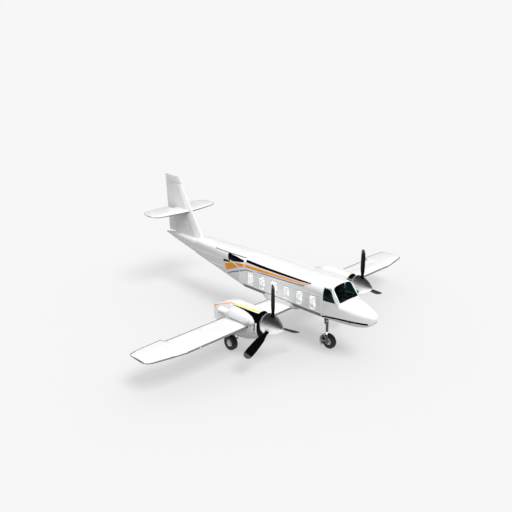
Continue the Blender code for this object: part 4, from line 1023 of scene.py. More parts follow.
def profileRing(lead, trail, ratio, place, last=1.0, edge=0.004, shares=34):
    chord, upper = trail - lead, []
    for k in range(shares + 1):
        s = (1 - cos(pi * k / shares)) / 2 * last
        upper.append((lead + chord * s, max(chord * profileHalf(s, ratio), edge if s > 0.5 else edge / 8)))
    return [place(c, t) for c, t in upper] + [place(c, -t) for c, t in reversed(upper)]


wingLine = curveThrough(wing["rows"])
tipLine = curveThrough([(wing["half"] - x, *rest) for x, *rest in reversed(wing["tipRows"])], tip=0.0)


def wingShape(x):
    return tipLine(wing["half"] - x) if x >= wing["tipFrom"] else wingLine(x)


def hingeHalf(x):
    chord = wing["trail"] - wing["lead"]
    return chord * profileHalf((wing["hinge"] - wing["lead"]) / chord, wingLine(x)[2])


def surfaceRing(radius, reach, place):  # round nose about the hinge, then a straight run to a thin edge
    outline, edge = [], 0.004
    for k in range(15):
        turn = pi / 2 + pi * k / 14
        outline.append((radius * cos(turn), radius * sin(turn)))
    bulge = [(reach * s, radius * (1 - s) ** 0.94 + edge * s) for s in (0.2, 0.4, 0.6, 0.8)]
    outline += [(c, -t) for c, t in bulge] + [(reach, -edge), (reach, edge)] + [(c, t)
        for c, t in reversed(bulge)]
    return [place(c, t) for c, t in outline]


def wings():
    stations = [0.0003] + spread(0.4, 6.52, 0.35) + [wing["tipFrom"]]
    # closer towards the tip
    stations += [wing["half"] - (1.59 ** 0.5 * (1 - k / 26)) ** 2 for k in range(1, 27)]
    for side, label in sides:
        rings = []
        for x in stations:
            lead, trail, ratio = wingShape(min(x, wing["half"]))
            rings.append(profileRing(lead, trail, ratio, level(x * side, wing["z"])))
        half = loft("wingSkin_" + label, rings, white)
        bays = []
        for inner, outer in wing["spans"].values():
            cove = wing["hinge"] - hingeHalf(inner) - wing["swing"]
            low, high = sorted((side * (inner - wing["swing"]), side * (outer + wing["swing"])))
            bays.append(boxPiece("bay", (low, cove, wing["z"] - 0.4), (high, -1.0, wing["z"] + 0.4), white))
        carve(half, *bays)
        paintEdgeShade(half, wingShape, edgeShadeWidth["wing"], wing["half"])
        clad(half, "wing_" + label)
        reach = wing["trail"] - wing["hinge"]
        for name, span in wing["spans"].items():
            rings = [surfaceRing(hingeHalf(x), reach, level(x * side, wing["z"], wing["hinge"]))
                for x in spread(*span, 0.3)]
            node = "%s_%s" % (name, label)
            surface = loft(name.replace("_i", "I").replace("_o", "O") + "Skin_" + label, rings, white)
            paintEdgeShade(surface, wingShape, edgeShadeWidth["wing"], wing["half"])
            attach(surface, node, "white_paint", node)


def bellyFairing():
    rows = [(-3.34, 0.3, 1.72), (-3.2, 0.62, 1.6), (-2.95, 0.8, 1.5), (-2.6, 0.86, 1.46), (-1.8, 0.86, 1.46),
        (-1.35, 0.8, 1.5), (-1.0, 0.62, 1.6), (-0.8, 0.3, 1.72)]
    shape = curveThrough(rows)
    rings = []
    for y in spread(rows[0][0], rows[-1][0], 0.07):
        half, bottom = shape(y)
        top = hull["belly"] + (1.93 - hull["belly"]) * (half - 0.3) / 0.56
        rise = top - bottom
        right = softCorners([(0.0, bottom), (half * 0.7, bottom + rise * 0.02), (half, bottom + rise * 0.35),
            (half, top)], 0.14, 8)
        rings.append([(x, y, z) for x, z in right] + [(-x, y, z) for x, z in reversed(right[1:])])
    attach(loft("bellyPan", rings, white), "airframe", "white_paint", "belly_fairing")


wings()
bellyFairing()
print("wings are skinned")


# powerplants

pod = {
    "x": 2.94, "hub": 1.917, "points": 84, "wall": 0.03, "ring": -3.30, "aft": -0.335,
    "rows": [(-3.40, 0.370, 1.240, 2.270, 2.3), (-3.37, 0.400, 1.180, 2.310, 2.3),
        (-3.30, 0.420, 1.120, 2.330, 2.4), (-2.98, 0.440, 0.990, 2.360, 2.6),
        (-2.55, 0.450, 0.850, 2.365, 2.8), (-1.85, 0.450, 0.820, 2.360, 2.8),
        (-1.35, 0.410, 0.860, 2.220, 2.6), (-0.85, 0.260, 0.940, 1.970, 2.4),
        (-0.50, 0.100, 1.000, 1.800, 2.3), (-0.335, 0.030, 1.030, 1.730, 2.3)],
    "barrel": {"x": 0.37, "z": 1.95, "radius": 0.235, "y": (-3.30, -1.86)},
    "pipe": {"end": (-1.14, 1.83), "radius": 0.145, "lift": ((0.0, 0.03), (0.06, 0.028), (0.12, 0.015),
        (0.2, 0.002), (0.3, 0.0), (0.97, 0.0), (0.985, 0.004), (1.0, 0.002), (1.0, -0.012), (0.98, -0.015),
        (0.40, -0.015))},
}
podShape = curveThrough(pod["rows"])


def podRing(y, centre, growth=0.0):
    half, bottom, top, power = podShape(y)
    middle, tall = (bottom + top) / 2, (top - bottom) / 2 + growth
    ring = []
    for i in range(pod["points"]):
        turn = 2 * pi * (i + 0.5) / pod["points"]
        across, up = cos(turn), sin(turn)
        ring.append((centre + (half + growth) * copysign(abs(across) ** (2 / power), across), y,
            middle + tall * copysign(abs(up) ** (2 / power), up)))
    return ring


def podBody(name, stations, centre, tone, growth=0.0):
    return loft(name, [podRing(y, centre, growth) for y in stations], tone)


def podShapes(side):  # stripes seen from above in (x, y), yellow inboard of black
    inner = [(0.045, -3.31), (0.095, -3.13), (0.165, -2.806), (0.215, -2.265), (0.215, -1.898)]
    outer = [(0.262, -1.898), (0.262, -2.265), (0.23, -2.806), (0.175, -3.13), (0.11, -3.31)]
    dark = [(0.185, -3.31), (0.225, -3.13), (0.252, -2.806), (0.272, -2.265), (0.285, -1.86), (0.302, -1.86),
        (0.306, -2.265), (0.318, -2.6), (0.334, -2.82), (0.352, -2.98), (0.375, -3.1), (0.41, -3.2),
        (0.445, -3.31)]
    tail = [(0.225, -1.898), (0.235, -1.486), (0.17, -1.08), (0.02, -0.403), (0.05, -0.403), (0.21, -1.08),
        (0.275, -1.486), (0.262, -1.898)]
    return [([(side * (pod["x"] + u), y) for u, y in shape], tone)
        for shape, tone in ((inner + outer, yellow), (dark, black), (tail, orange))]


def paintFromAbove(piece, shapes, base, lowest):  # x and z change places while paintShapes works
    turned = Matrix(((0, 0, 1, 0), (0, 1, 0, 0), (1, 0, 0, 0), (0, 0, 0, 1)))
    for outline, tone in shapes:
        piece.data.transform(turned)
        piece.data.flip_normals()
        piece.data.transform(Matrix.Translation((-lowest, 0, 0)))
        paintShapes(piece, [([(y, x) for x, y in outline], tone)], base, 1)
        piece.data.transform(Matrix.Translation((lowest, 0, 0)))
        piece.data.transform(turned)
        piece.data.flip_normals()


def powerplants():
    for side, label in sides:
        centre = side * pod["x"]
        barrelX = side * (pod["x"] + pod["barrel"]["x"])
        cowl = podBody("cowlRing", [-3.4, -3.397, -3.39, -3.38, -3.37, -3.35, -3.325, pod["ring"] - 0.0006],
            centre, black)
        chin = [(centre + u, 1.43 + v) for u, v in roundedOutline(0.34, 0.17, 0.07)]
        carve(cowl, podBody("cowlInside", [-3.37, -3.34, -3.25], centre, black, -pod["wall"]),
            rod("shaftHole", (centre, -3.6, pod["hub"]), (centre, -3.2, pod["hub"]), 0.27, black, 48),
            slab("chinHole", chin, (-3.6, -3.2), fromFront, black))
        paintShapes(cowl, [([(-3.375, 1.0), (-3.375, 1.95), (-3.2, 1.95), (-3.2, 1.0)], white)], black)
        attach(cowl, "airframe", "black_paint", "cowl_ring_" + label)

        body = podBody("nacelle", [pod["ring"] + k * 0.06 for k in range(49)] + [pod["aft"]], centre, white)
        start, end = pod["barrel"]["y"]
        radius, length = pod["barrel"]["radius"], end - start
        bulge = [(0.002 + 0.45 * t, 0.1 + (radius - 0.1) * sin(pi / 2 * t) ** 0.8)
            for t in (k / 11 for k in range(12))]
        bulge += [(length - 0.03, radius), (length - 0.01, radius * 0.975), (length, radius * 0.93)]
        barrel = lathe("barrel", bulge, (barrelX, start, pod["barrel"]["z"]), yAxis, white, 56)
        carve(body, barrel, how="UNION")
        carve(body, podBody("podInside", [pod["ring"] - 0.05, -3.2, -3.1, -2.99], centre, engineTone,
            -pod["wall"]))
        paintFromAbove(body, podShapes(side), white, 1.62)
        clad(body, "nacelle_" + label)

        endY, endZ = pod["pipe"]["end"]
        pipe = pod["pipe"]["radius"]
        base = Vector((barrelX, end, pod["barrel"]["z"] - 0.03))
        run = Vector((barrelX, endY, endZ)) - base
        profile = [(share, pipe + lift) for share, lift in pod["pipe"]["lift"]] + [(0.36, pipe * 0.5),
            (0.352, 0.01)]
        rings = [[base + run * share + Vector((r * cos(t), 0, r * sin(t))) for t in around(48)]
            for share, r in profile]
        attach(loft("exhaustPipe", rings, exhaustTone), "airframe", "exhaust_metal", "exhaust_" + label)
        dress("engine_" + label, engineTone)


prop = {
    "y": -3.914, "pitch": 68.0, "count": 3, "root": 0.15, "radius": 1.767, "around": 28,
    "rows": [(0.04, 0.150, 0.150, 0.0), (0.45, 0.150, 0.150, 0.0), (0.56, 0.200, 0.105, 6.0),
        (0.76, 0.310, 0.070, 4.0), (1.05, 0.360, 0.052, 1.0), (1.40, 0.380, 0.040, -2.0),
        (1.62, 0.360, 0.030, -3.0), (1.72, 0.270, 0.020, -4.0), (1.767, 0.110, 0.012, -4.0)],
    "greyFrom": 1.60,
    "dome": {"tip": -4.507, "base": -3.64, "radius": 0.437, "power": 0.75},
}
bladeShape = curveThrough(prop["rows"])


def bladeRing(distance, direction, leadWay, origin):
    chord, thick, twist = bladeShape(distance)
    pitch = radians(prop["pitch"] + twist)
    chordWay = Vector(leadWay) * cos(pitch) + Vector((0, -1, 0)) * sin(pitch)
    normal = Vector(direction).cross(chordWay)
    roundness = min(1.0, thick / chord)
    ring = []
    for k in range(prop["around"]):
        turn = 2 * pi * k / prop["around"]
        belly = 1.0 if sin(turn) > 0 else 0.45 + 0.55 * roundness
        ring.append(Vector(origin) + Vector(direction) * distance + chordWay * chord / 2 * cos(turn)
            + normal * thick / 2 * sin(turn) * belly)
    return ring


def propellers():
    dome = prop["dome"]
    length = dome["base"] - dome["tip"]
    for side, label in sides:
        centre = side * pod["x"]
        origin = (centre, prop["y"], pod["hub"])
        r = dome["radius"]
        parts = [
            lathe("plate", [(0.0003, r - 0.03), (0.0003, r - 0.01), (0.006, r - 0.004), (0.044, r - 0.004),
                (0.05, r - 0.01), (0.05, 0.1)], (centre, dome["base"], pod["hub"]), yAxis, plateTone, 96),
            lathe("boss", [(0, 0.1), (0.02, 0.13), (0.4, 0.13), (0.42, 0.1)],
                (centre, prop["y"] - 0.15, pod["hub"]), yAxis, steelTone, 40),
        ]
        holes = []
        for k in range(prop["count"]):
            turn = 2 * pi * k / prop["count"]
            direction = Vector((sin(turn), 0, cos(turn)))
            leadWay = (-cos(turn), 0, sin(turn))
            stops = [0.04, 0.3] + spread(0.44, 1.6, 0.045) + [1.6001] + spread(1.62, 1.74, 0.02)
            stops += [1.75, 1.758, 1.763, 1.7665]
            blade = loft("blade", [bladeRing(d, direction, leadWay, origin) for d in stops], bladeBlack)
            blade.data.materials.append(bladeTip)
            for face in blade.data.polygons:
                if (Vector(face.center) - Vector(origin)).dot(direction) > prop["greyFrom"]:
                    face.material_index = 1
            parts.append(blade)
            parts.append(lathe("collar", [(0.4, 0.078), (0.405, 0.084), (0.425, 0.084), (0.43, 0.078)],
                origin, direction, bladeBlack, 40))
            holes.append(rod("bladeHole", origin, Vector(origin) + direction * 0.7, prop["root"] / 2 + 0.012,
                black, 40))
        parts.append(boltCircle("plateBolts", (centre, dome["base"] + 0.05, pod["hub"]), yAxis, steelTone,
            Count=24, Circle=dome["radius"] - 0.03, Size=0.007, Height=0.012))
        attach(gather("propellerBlades_" + label, parts), "propeller_" + label, "blade_black",
            "propeller_" + label)
        profile = [(0.0, 0.004)]
        for k in range(1, 41):
            share = (k / 40) ** 1.6
            profile.append((length * share, dome["radius"] * sin(pi / 2 * share) ** dome["power"]))
        shell = lathe("dome", profile, (centre, dome["tip"], pod["hub"]), yAxis, polished, 120)
        inside = [(along + 0.03, max(r - 0.012, 0.004)) for along, r in profile[8:]]
        carve(shell, lathe("domeInside", inside, (centre, dome["tip"], pod["hub"]), yAxis, polished, 60),
            *holes)
        attach(gather("spinnerDome_" + label, [shell]), "propeller_" + label, "polished_metal",
            "spinner_" + label)


plateTone = paint("spinnerPlate", (0.36, 0.36, 0.37), 0.4, 0.3, coat=0.2)
bladeTip = paint("bladeTip", (0.075, 0.075, 0.08), 0.5, 0.12, 0.2, gloss=0.2)
powerplants()
propellers()
print("powerplants are built")


# tail

tail = {
    "z": 4.275, "half": 2.03, "hinge": 5.89, "swing": 0.008,
    "rows": [(0.0, 4.82, 6.50), (0.45, 4.85, 6.50), (1.05, 4.93, 6.48), (1.60, 5.02, 6.35),
        (1.86, 5.13, 6.20), (1.98, 5.29, 6.03), (2.03, 5.50, 5.86)],
    "elevator": (0.31, 1.72),
}
tailLine = curveThrough(tail["rows"])


def finLead(z):
    return 3.905 + (z - 3.15) * 0.631


def rudderHinge(z):
    return 5.96 + (z - 3.0) * 0.0814


def rudderTrail(z):
    return 6.61 + (z - 2.93) * 0.052


def rudderHalf(z):
    return 0.055 + (0.032 - 0.055) * (z - 2.985) / (5.97 - 2.985)


def elevatorHalf(x):
    return 0.046 + (0.038 - 0.046) * (x - 0.31) / (1.72 - 0.31)


def tailPieces():
    rings = []
    for z in (2.8, 2.95, 3.15) + tuple(spread(3.3, 5.55, 0.25)) + (5.575, 5.585):
        lead, trail = max(finLead(z), 3.905), rudderTrail(z)
        rear = rudderHinge(z) - rudderHalf(z) - tail["swing"]
        ratio = 0.075 + 0.02 * min(max((z - 3.0) / 2.585, 0), 1) - (0.02 if z > 5.58 else 0.0)
        rings.append(profileRing(lead, trail, ratio, upright(z), last=(rear - lead) / (trail - lead)))
    # the front of the fin is a painted highlight where it faces the light; the rest of fin and rudder is a
    # greyer white as painted shade
    band = [(finLead(z) + share * (rudderTrail(z) - finLead(z)), z)
        for share, heights in ((-0.1, (2.7, 5.7)), (0.2, (5.7, 2.7))) for z in heights]
    skin = loft("finSkin", rings, finWhite)
    paintShapes(skin, [(band, bandWhite)], finWhite)
    clad(skin, "fin")

    rings = [surfaceRing(rudderHalf(z), rudderTrail(z) - rudderHinge(z), upright(z, rudderHinge(z)))
        for z in spread(2.985, 5.62, 0.3)]
    blade = loft("rudderBlade", rings, finWhite)
    rows = ((5.601, 0.012, 0.07), (5.607, 0.003, 0.082), (5.62, 0.0, 0.085), (5.76, 0.0, 0.085),
        (5.9, 0.0, 0.083), (5.935, 0.008, 0.074), (5.955, 0.02, 0.06), (5.966, 0.04, 0.04),
        (5.97, 0.07, 0.015))
    horn = [profileRing(finLead(z) + inset, rudderTrail(z) - inset, ratio, upright(z), edge=0.003)
        for z, inset, ratio in rows]
    attach(gather("rudderSkin", [blade, loft("horn", horn, finWhite)]), "rudder", "white_paint", "rudder")

    half = [tail["half"] - tail["half"] * (1 - k / 40) ** 2 for k in range(1, 41)]
    stations = [-x for x in reversed(half)] + [0.0] + half
    rings = []
    for x in stations:
        lead, trail = tailLine(abs(x))
        ratio = 0.095 - 0.005 * min(abs(x) / 1.6, 1) - 0.02 * min(max((abs(x) - 1.6) / 0.43, 0), 1)
        rings.append(profileRing(lead, trail, ratio, level(x, tail["z"])))
    plane = loft("tailplaneSkin", rings, white)
    cove = tail["hinge"] - elevatorHalf(tail["elevator"][0]) - tail["swing"]
    reach = tail["elevator"][1] + tail["swing"]
    carve(plane, boxPiece("elevatorBay", (-reach, cove, tail["z"] - 0.3), (reach, 7.0, tail["z"] + 0.3),
        white))
    paintEdgeShade(plane, tailLine, edgeShadeWidth["tail"], tail["half"])
    clad(plane, "tailplane")
    for side, label in sides:
        rings = [surfaceRing(elevatorHalf(x), tailLine(x)[1] - tail["hinge"],
            level(x * side, tail["z"], tail["hinge"])) for x in spread(*tail["elevator"], 0.12)]
        surface = loft("elevatorSkin_" + label, rings, white)
        paintEdgeShade(surface, tailLine, edgeShadeWidth["tail"], tail["half"])
        attach(surface, "elevator_" + label, "white_paint", "elevator_" + label)


tailPieces()
print("tail is skinned")


# wheels and legs

gear = {
    "radius": 0.34, "hub": 0.16, "turns": 96, "z": 0.34 * cos(pi / 32),
    "main": (3.10, -1.55), "legX": 2.86, "leg": 0.075, "mainWidth": 0.27,
    "nose": (0.03, -4.46), "noseLegX": -0.15, "steer": 1.15, "noseWidth": 0.21,
}


def tyre(name, x, y, width):
    half, r, hub = width / 2, gear["z"], gear["hub"]
    side = [(-0.62, hub + 0.004), (-0.86, hub + 0.012), (-0.9, hub + 0.022), (-0.97, hub + 0.06),
        (-1.0, r * 0.72), (-0.985, r * 0.8), (-0.94, r * 0.87), (-0.86, r * 0.93), (-0.74, r * 0.966),
        (-0.6, r * 0.985)]
    grooves = []
    for centre in (-0.42, -0.14):
        grooves += [(centre - 0.035, r), (centre - 0.03, r - 0.009), (centre + 0.03, r - 0.009),
            (centre + 0.035, r)]
    left = side + [(-0.5, r * 0.998)] + grooves
    profile = [(u * half, v) for u, v in left] + [(-u * half, v) for u, v in reversed(left)]
    centre = (x, y, gear["z"])
    body = lathe(name, profile, centre, (1, 0, 0), tyreRubber, gear["turns"], closed=True)
    rim = [lathe("sideRib", [(u * half * s, v) for u, v in ((-0.985, r * 0.76), (-1.0, r * 0.765),
        (-1.0, r * 0.785), (-0.985, r * 0.79))], centre, (1, 0, 0), tyreRubber, gear["turns"], closed=True)
        for s in (1, -1)]
    blocks = grow("treadBlocks", boltRing, tyreRubber, Count=56, Circle=r * 0.949, Size=0.01,
        Height=width * 0.14, Sides=4)
    turned = Matrix.Rotation(pi / 2, 4, "Y")
    parts = [body] + rim
    for u in (-0.66, 0.66):
        copy = addObject("blocks", blocks.data.copy())
        copy.data.transform(Matrix.Translation((x + u * half, y, gear["z"])) @ turned)
        parts.append(copy)
    bpy.data.objects.remove(blocks)
    return gather(name, parts)


def rimPiece(name, x, y, width, tone):
    half, hub = width / 2, gear["hub"]
    centre = (x, y, gear["z"])
    face = [(0.1, 0.02), (0.12, 0.062), (0.3, 0.068), (0.34, 0.078), (0.36, 0.115), (0.46, 0.13),
        (0.62, 0.138), (0.74, 0.146), (0.8, 0.152), (0.8, hub - 0.001), (0.7, hub), (0.58, hub - 0.004)]
    profile = [(-u * half, v) for u, v in face] + [(u * half, v) for u, v in reversed(face)]
    parts = [lathe(name, profile, centre, (1, 0, 0), tone, 72)]
    for s in (1, -1):
        axis = (s, 0, 0)
        at = Vector(centre) + Vector(axis) * half * 0.35
        parts.append(boltCircle("rimBolts", at + Vector(axis) * 0.006, axis, steelTone, Count=8, Circle=0.097,
            Size=0.0085, Height=0.022))
        parts.append(lathe("cap", [(0.0, 0.04), (half * 0.3, 0.04), (half * 0.36, 0.034), (half * 0.38, 0.02),
            (half * 0.39, 0.002)], Vector(centre) + Vector(axis) * half * 0.3, axis, steelTone, 32))
    return gather(name, parts)


def mainGear():
    y, z = gear["main"][1], gear["z"]
    for side, label in sides:
        x, legX = side * gear["main"][0], side * gear["legX"]
        body = "main_wheel_" + label
        attach(tyre("mainTyre_" + label, x, y, gear["mainWidth"]), body, "tyre", "main_%s_tyre" % label)
        attach(rimPiece("mainRim_" + label, x, y, gear["mainWidth"], guardWhite), body, "gear_metal",
            "main_%s_hub" % label)
        r = gear["leg"]
        parts = [
            lathe("leg", [(0.0, r * 0.75), (0.012, r * 0.93), (0.17, r * 0.93), (0.18, r * 0.62),
                (0.36, r * 0.62), (0.365, r * 0.98), (0.38, r), (0.86, r), (0.87, r * 0.9)],
                (legX, y, z - 0.06), zAxis, gearGrey, 40),
            lathe("piston", [(0.0, r * 0.64), (0.2, r * 0.64)], (legX, y, z + 0.115), zAxis, chrome, 36),
            rod("axle", (legX, y, z), (side * (gear["main"][0] - gear["mainWidth"] * 0.4) - side * 0.002, y,
                z), 0.05, steelTone, 32),
            rod("brace", (legX, y, 0.45), (legX, y + 0.32, 0.96), 0.03, gearGrey, 24),
        ]
        links, pin = (0.5, 0.66), (y - 0.195, 0.58)
        parts += [boxPiece("link", (legX - 0.045, y - 0.075 - 0.13, height - 0.012),
            (legX + 0.045, y - 0.05, height + 0.012), steelTone, 0.008) for height in links]
        parts.append(rod("linkPin", (legX - 0.055, *pin), (legX + 0.055, *pin), 0.012, steelTone))
        parts += [rod("linkArm", (legX, *pin), (legX, y - 0.185, height), 0.016, steelTone)
            for height in links]
        parts.append(tube("brakeLine", [(legX + 0.07 * side, y + 0.01, z),
            (legX + 0.085 * side, y + 0.03, z + 0.12), (legX + 0.07 * side, y + 0.05, 0.62),
            (legX + 0.075 * side, y + 0.03, 0.9)], 0.006, blackSeal))
        attach(gather("mainLeg_" + label, parts), "airframe", "gear_metal", "main_leg_" + label)


def noseGear():
    x, y, z = gear["nose"][0], gear["nose"][1], gear["z"]
    legX, steer = gear["noseLegX"], gear["steer"]
    attach(tyre("noseTyre", x, y, gear["noseWidth"]), "nose_wheel", "tyre", "nose_tyre")
    attach(rimPiece("noseRim", x, y, gear["noseWidth"], bandWhite), "nose_wheel", "gear_metal", "nose_hub")
    top = hull["belly"] - steer
    leg = [
        lathe("leg", [(0.0, 0.06), (0.01, 0.065), (top - 0.1, 0.065), (top - 0.045, 0.085),
            (top - 0.04, 0.125), (top - 0.036, 0.13), (top, 0.13)], (legX, y, steer), zAxis, slateMetal, 40),
        boltCircle("collarBolts", (legX, y, steer + top - 0.042), zAxis, steelTone, Count=8, Circle=0.105,
            Size=0.008, Height=0.014),
        lathe("clamp", [(0.0, 0.066), (0.004, 0.071), (0.045, 0.071), (0.049, 0.066)], (legX, y, steer + 0.2),
            zAxis, steelTone, 40),
        rod("dragBrace", (legX, y + 0.03, steer + 0.22), (legX, y + 0.42, 1.77), 0.022, blackSeal),
        rod("actuator", (legX - 0.02, y + 0.085, steer + 0.06), (legX - 0.02, y + 0.14, 1.77), 0.036,
            blackSeal, 24),
    ]
    attach(gather("noseLeg", leg), "airframe", "gear_metal", "nose_gear_leg")
    inner, outer = gear["radius"] + 0.03, gear["radius"] + 0.055
    arc = [radians(-38 + 80 * k / 40) for k in range(41)]

    def ribbed(name, lift, low, high):
        outline = [(y + (outer + lift) * cos(t), z + (outer + lift) * sin(t)) for t in arc]
        outline += [(y + inner * cos(t), z + inner * sin(t)) for t in reversed(arc)]
        return slab(name, outline, (low, high), throughSide(1), guardWhite)

    guard = [ribbed("guard", -0.01, -0.16, 0.16)]
    for w in (-0.155 + 0.31 * k / 8 for k in range(9)):
        guard.append(ribbed("guardRib", 0.0, w - 0.006, w + 0.006))
    axleEnd, knee = x - gear["noseWidth"] * 0.4 - 0.002, (y + 0.16, z + 0.27)
    fork = [
        lathe("fork", [(z - 0.07 - steer, 0.04), (z - 0.06 - steer, 0.052), (-0.44, 0.052), (-0.435, 0.038),
            (-0.31, 0.038), (-0.3, 0.052), (-0.22, 0.06), (-0.0006, 0.06)], (legX, y, steer), zAxis,
            slateMetal, 40),
        lathe("piston", [(-0.45, 0.04), (-0.29, 0.04)], (legX, y, steer), zAxis, chrome, 36),
        rod("axle", (legX, y, z), (axleEnd, y, z), 0.04, steelTone, 32),
        rod("guardArm", (legX, y, z + 0.02), (legX, y + outer - 0.005, z + 0.02), 0.02, gearGrey),
        rod("linkLower", (legX, y + 0.03, z + 0.16), (legX, *knee), 0.016, steelTone),
        rod("linkUpper", (legX, *knee), (legX, y + 0.04, z + 0.4), 0.016, steelTone),
        rod("linkPin", (legX - 0.04, *knee), (legX + 0.04, *knee), 0.012, steelTone),
    ]
    attach(gather("noseFork", fork + guard), "nose_steering", "gear_metal", "nose_fork")


slateMetal = paint("darkStrut", (0.10, 0.10, 0.11), 0.4, 0.4, 0.2)
mainGear()
noseGear()
print("gear is built")


# glass

# sections of the frames: how far outside the opening, how far out of the skin
seal = {
    "window": ((-0.010, -0.024), (-0.010, -0.009), (0.001, 0.0015), (0.004, 0.003), (0.012, 0.003),
               (0.016, 0.0005), (0.016, -0.024)),
    "side": ((0.0, -0.016), (0.0, 0.0), (0.028, 0.0), (0.034, -0.016)),
}


def glazing():
    for side, label in sides:
        pane = slab("pane", offsetOutline(paneOutline(side), -0.0006), (-0.021, -0.009), onScreen,
            screenGlass)
        attach(gather("windshieldPane_" + label, [pane]), "airframe", "glass", "windshield_" + label)
        stations = spread(-5.34, -4.69, 0.05)
        patch = hullBody("sideGlass", stations, darkGlass, -0.009)
        carve(patch, hullBody("sideGlassBack", stations, tealFilm, -0.021))
        edge = offsetOutline(sidePane, -0.0006)
        carve(patch, sideTool("sideGlassEdge", edge, (0.55, 1.2), darkGlass, side), how="INTERSECT")
        attach(gather("sidePane_" + label, [patch]), "airframe", "glass", "cockpit_glass_" + label)
    panes, frames = [], []
    for side, _ in sides:
        for y in windowAt:
            x = hullShape(y)[0]
            outline = offsetOutline(windowOutline(y), -0.0008)
            panes.append(slab("pane", outline, (x - 0.021, x - 0.012), throughSide(side), clearGlass))
            frames.append(trimRing("frame", windowOutline(y), seal["window"], lambda u, v, w, px=x,
                s=side: (s * (px + w), u, v), sealTone))
        x = hull["rows"][9][1] - 0.035
        # the side pane's frame in the same pale blue-grey as the painted reflection
        frames.append(trimRing("sideFrame", offsetOutline(sidePane, 0.002), seal["side"], lambda u, v, w,
            px=x, s=side: (s * (px + w), u, v), frameAndReflectionTone))
    fit("cabinPanes", panes, "glass")
    fit("windowFrames", frames, "panel_plastic")


tealFilm = glassy("tealFilm", (0.002, 0.13, 0.17), 0.3, gloss=0.1)
glazing()
print("glass is set")


# seams, rivets, lights and aerials

detail = {"step": 0.04, "rivet": 0.0035, "pitch": 0.06, "root": 0.003}


def skinTree(*starts):
    points, faces = [], []
    for item in bpy.data.objects:
        if item.type == "MESH" and item.name.startswith(starts):
            base = len(points)
            points += [v.co.copy() for v in item.data.vertices]
            faces += [[base + i for i in p.vertices] for p in item.data.polygons]
    return BVHTree.FromPolygons(points, faces)


def dense(path, step):
    fine = []
    for a, b in zip(path, path[1:]):
        a, b = Vector(a), Vector(b)
        count = max(1, ceil((b - a).length / step))
        fine += [a.lerp(b, k / count) for k in range(count)]
    return fine + [Vector(path[-1])]


def project(tree, path, way, step=detail["step"]):  # path points start outside the skin and travel along way
    spots = []
    for point in dense(path, step):
        hit = tree.ray_cast(point, Vector(way), 6.0)
        if hit[0] is not None:
            spots.append((hit[0], hit[1] if hit[1].dot(Vector(way)) < 0 else -hit[1]))
    return spots


def fromSide(tree, path, side, away=3.0):
    return project(tree, [(side * away, y, z) for y, z in path], (-side, 0, 0))


def fromAbove(tree, path, height=2.6, way=-1):
    return project(tree, [(x, y, height) for x, y in path], (0, 0, way))


def bead(spots, tone, width, height):  # a low ridge along spots on a skin
    rings, root = [], detail["root"]
    for k, (spot, out) in enumerate(spots):
        run = (spots[min(k + 1, len(spots) - 1)][0] - spots[max(k - 1, 0)][0]).normalized()
        across = run.cross(out).normalized() * (width / 2)
        rings.append([spot + across - out * root, spot + across, spot + out * height, spot - across,
            spot - across - out * root])
    return loft("bead", rings, tone, sharp=15)


def rivets(spots, tone=white, pitch=detail["pitch"], size=detail["rivet"]):
    mesh = bpy.data.meshes.new("rivetPath")
    mesh.from_pydata([tuple(spot) for spot, _ in spots], [(k, k + 1) for k in range(len(spots) - 1)], [])
    return grow("rivets", rivetRow, tone, base=mesh, Spacing=pitch, Size=size)


def wick(name, x, trail, z, length, drop=0.0):  # static discharger behind a trailing edge
    return rod(name, (x, trail - 0.01, z), (x, trail + length, z - drop), 0.003, blackSeal, 8)


def fuselageSeams():
    skin = skinTree("noseSkin", "cockpitSkin", "cabinSkin", "tailSkin", "coneSkin")
    beads, heads = [], []
    rows = [
        [(-4.59, 2.735), (-0.02, 2.735)], [(-4.59, 1.985), (0.02, 1.985)],
        [(4.486, 2.603), (3.891, 2.665), (3.275, 2.622), (2.671, 2.686), (2.086, 2.696), (1.595, 2.759)],
        [(2.688, 2.315), (2.017, 2.329), (1.526, 2.397)],
    ]
    posts = [[(y, low), (y, high)] for y, low, high in ((-4.612, 1.8, 3.2), (0.05, 1.8, 3.2),
        (0.325, 1.98, 2.56), (5.01, 2.56, 2.95), (-5.8, 2.02, 2.5), (2.1, 2.2, 3.16), (3.2, 2.34, 3.14))]
    for side, _ in sides:
        beads += [bead(fromSide(skin, path, side), bandWhite, 0.026, 0.009) for path in rows + posts[:4]]
        for path in rows + posts:
            heads.append(rivets(fromSide(skin, [(y + 0.018, z + 0.018) for y, z in path], side)))
        for y in windowAt:
            ring = windowOutline(y, 0.032)
            heads.append(rivets(fromSide(skin, ring + ring[:1], side), sealTone, 0.045, 0.003))
        ring = offsetOutline(sidePane, 0.022)
        heads.append(rivets(fromSide(skin, ring + ring[:1], side), sealTone, 0.04, 0.003))
    for x in (-0.42, 0.0, 0.42):
        heads.append(rivets(fromAbove(skin, [(x, -4.5), (x, 3.6)], 4.0), white, 0.1))
        heads.append(rivets(fromAbove(skin, [(x, -5.3), (x, -3.5)], 1.0, 1)))
    hatch = [(u, -3.55 + v) for u, v in roundedOutline(0.5, 0.56, 0.08)]
    beads.append(bead(fromAbove(skin, hatch + hatch[:1], 4.0), seamTone, 0.008, 0.001))
    beads += [bead(fromAbove(skin, [(-0.5, y), (0.5, y)], 4.0), seamTone, 0.005, 0.0008) for y in (-1.9, 1.6)]
    fit("fuselageSeams", beads)
    fit("fuselageRivets", heads)


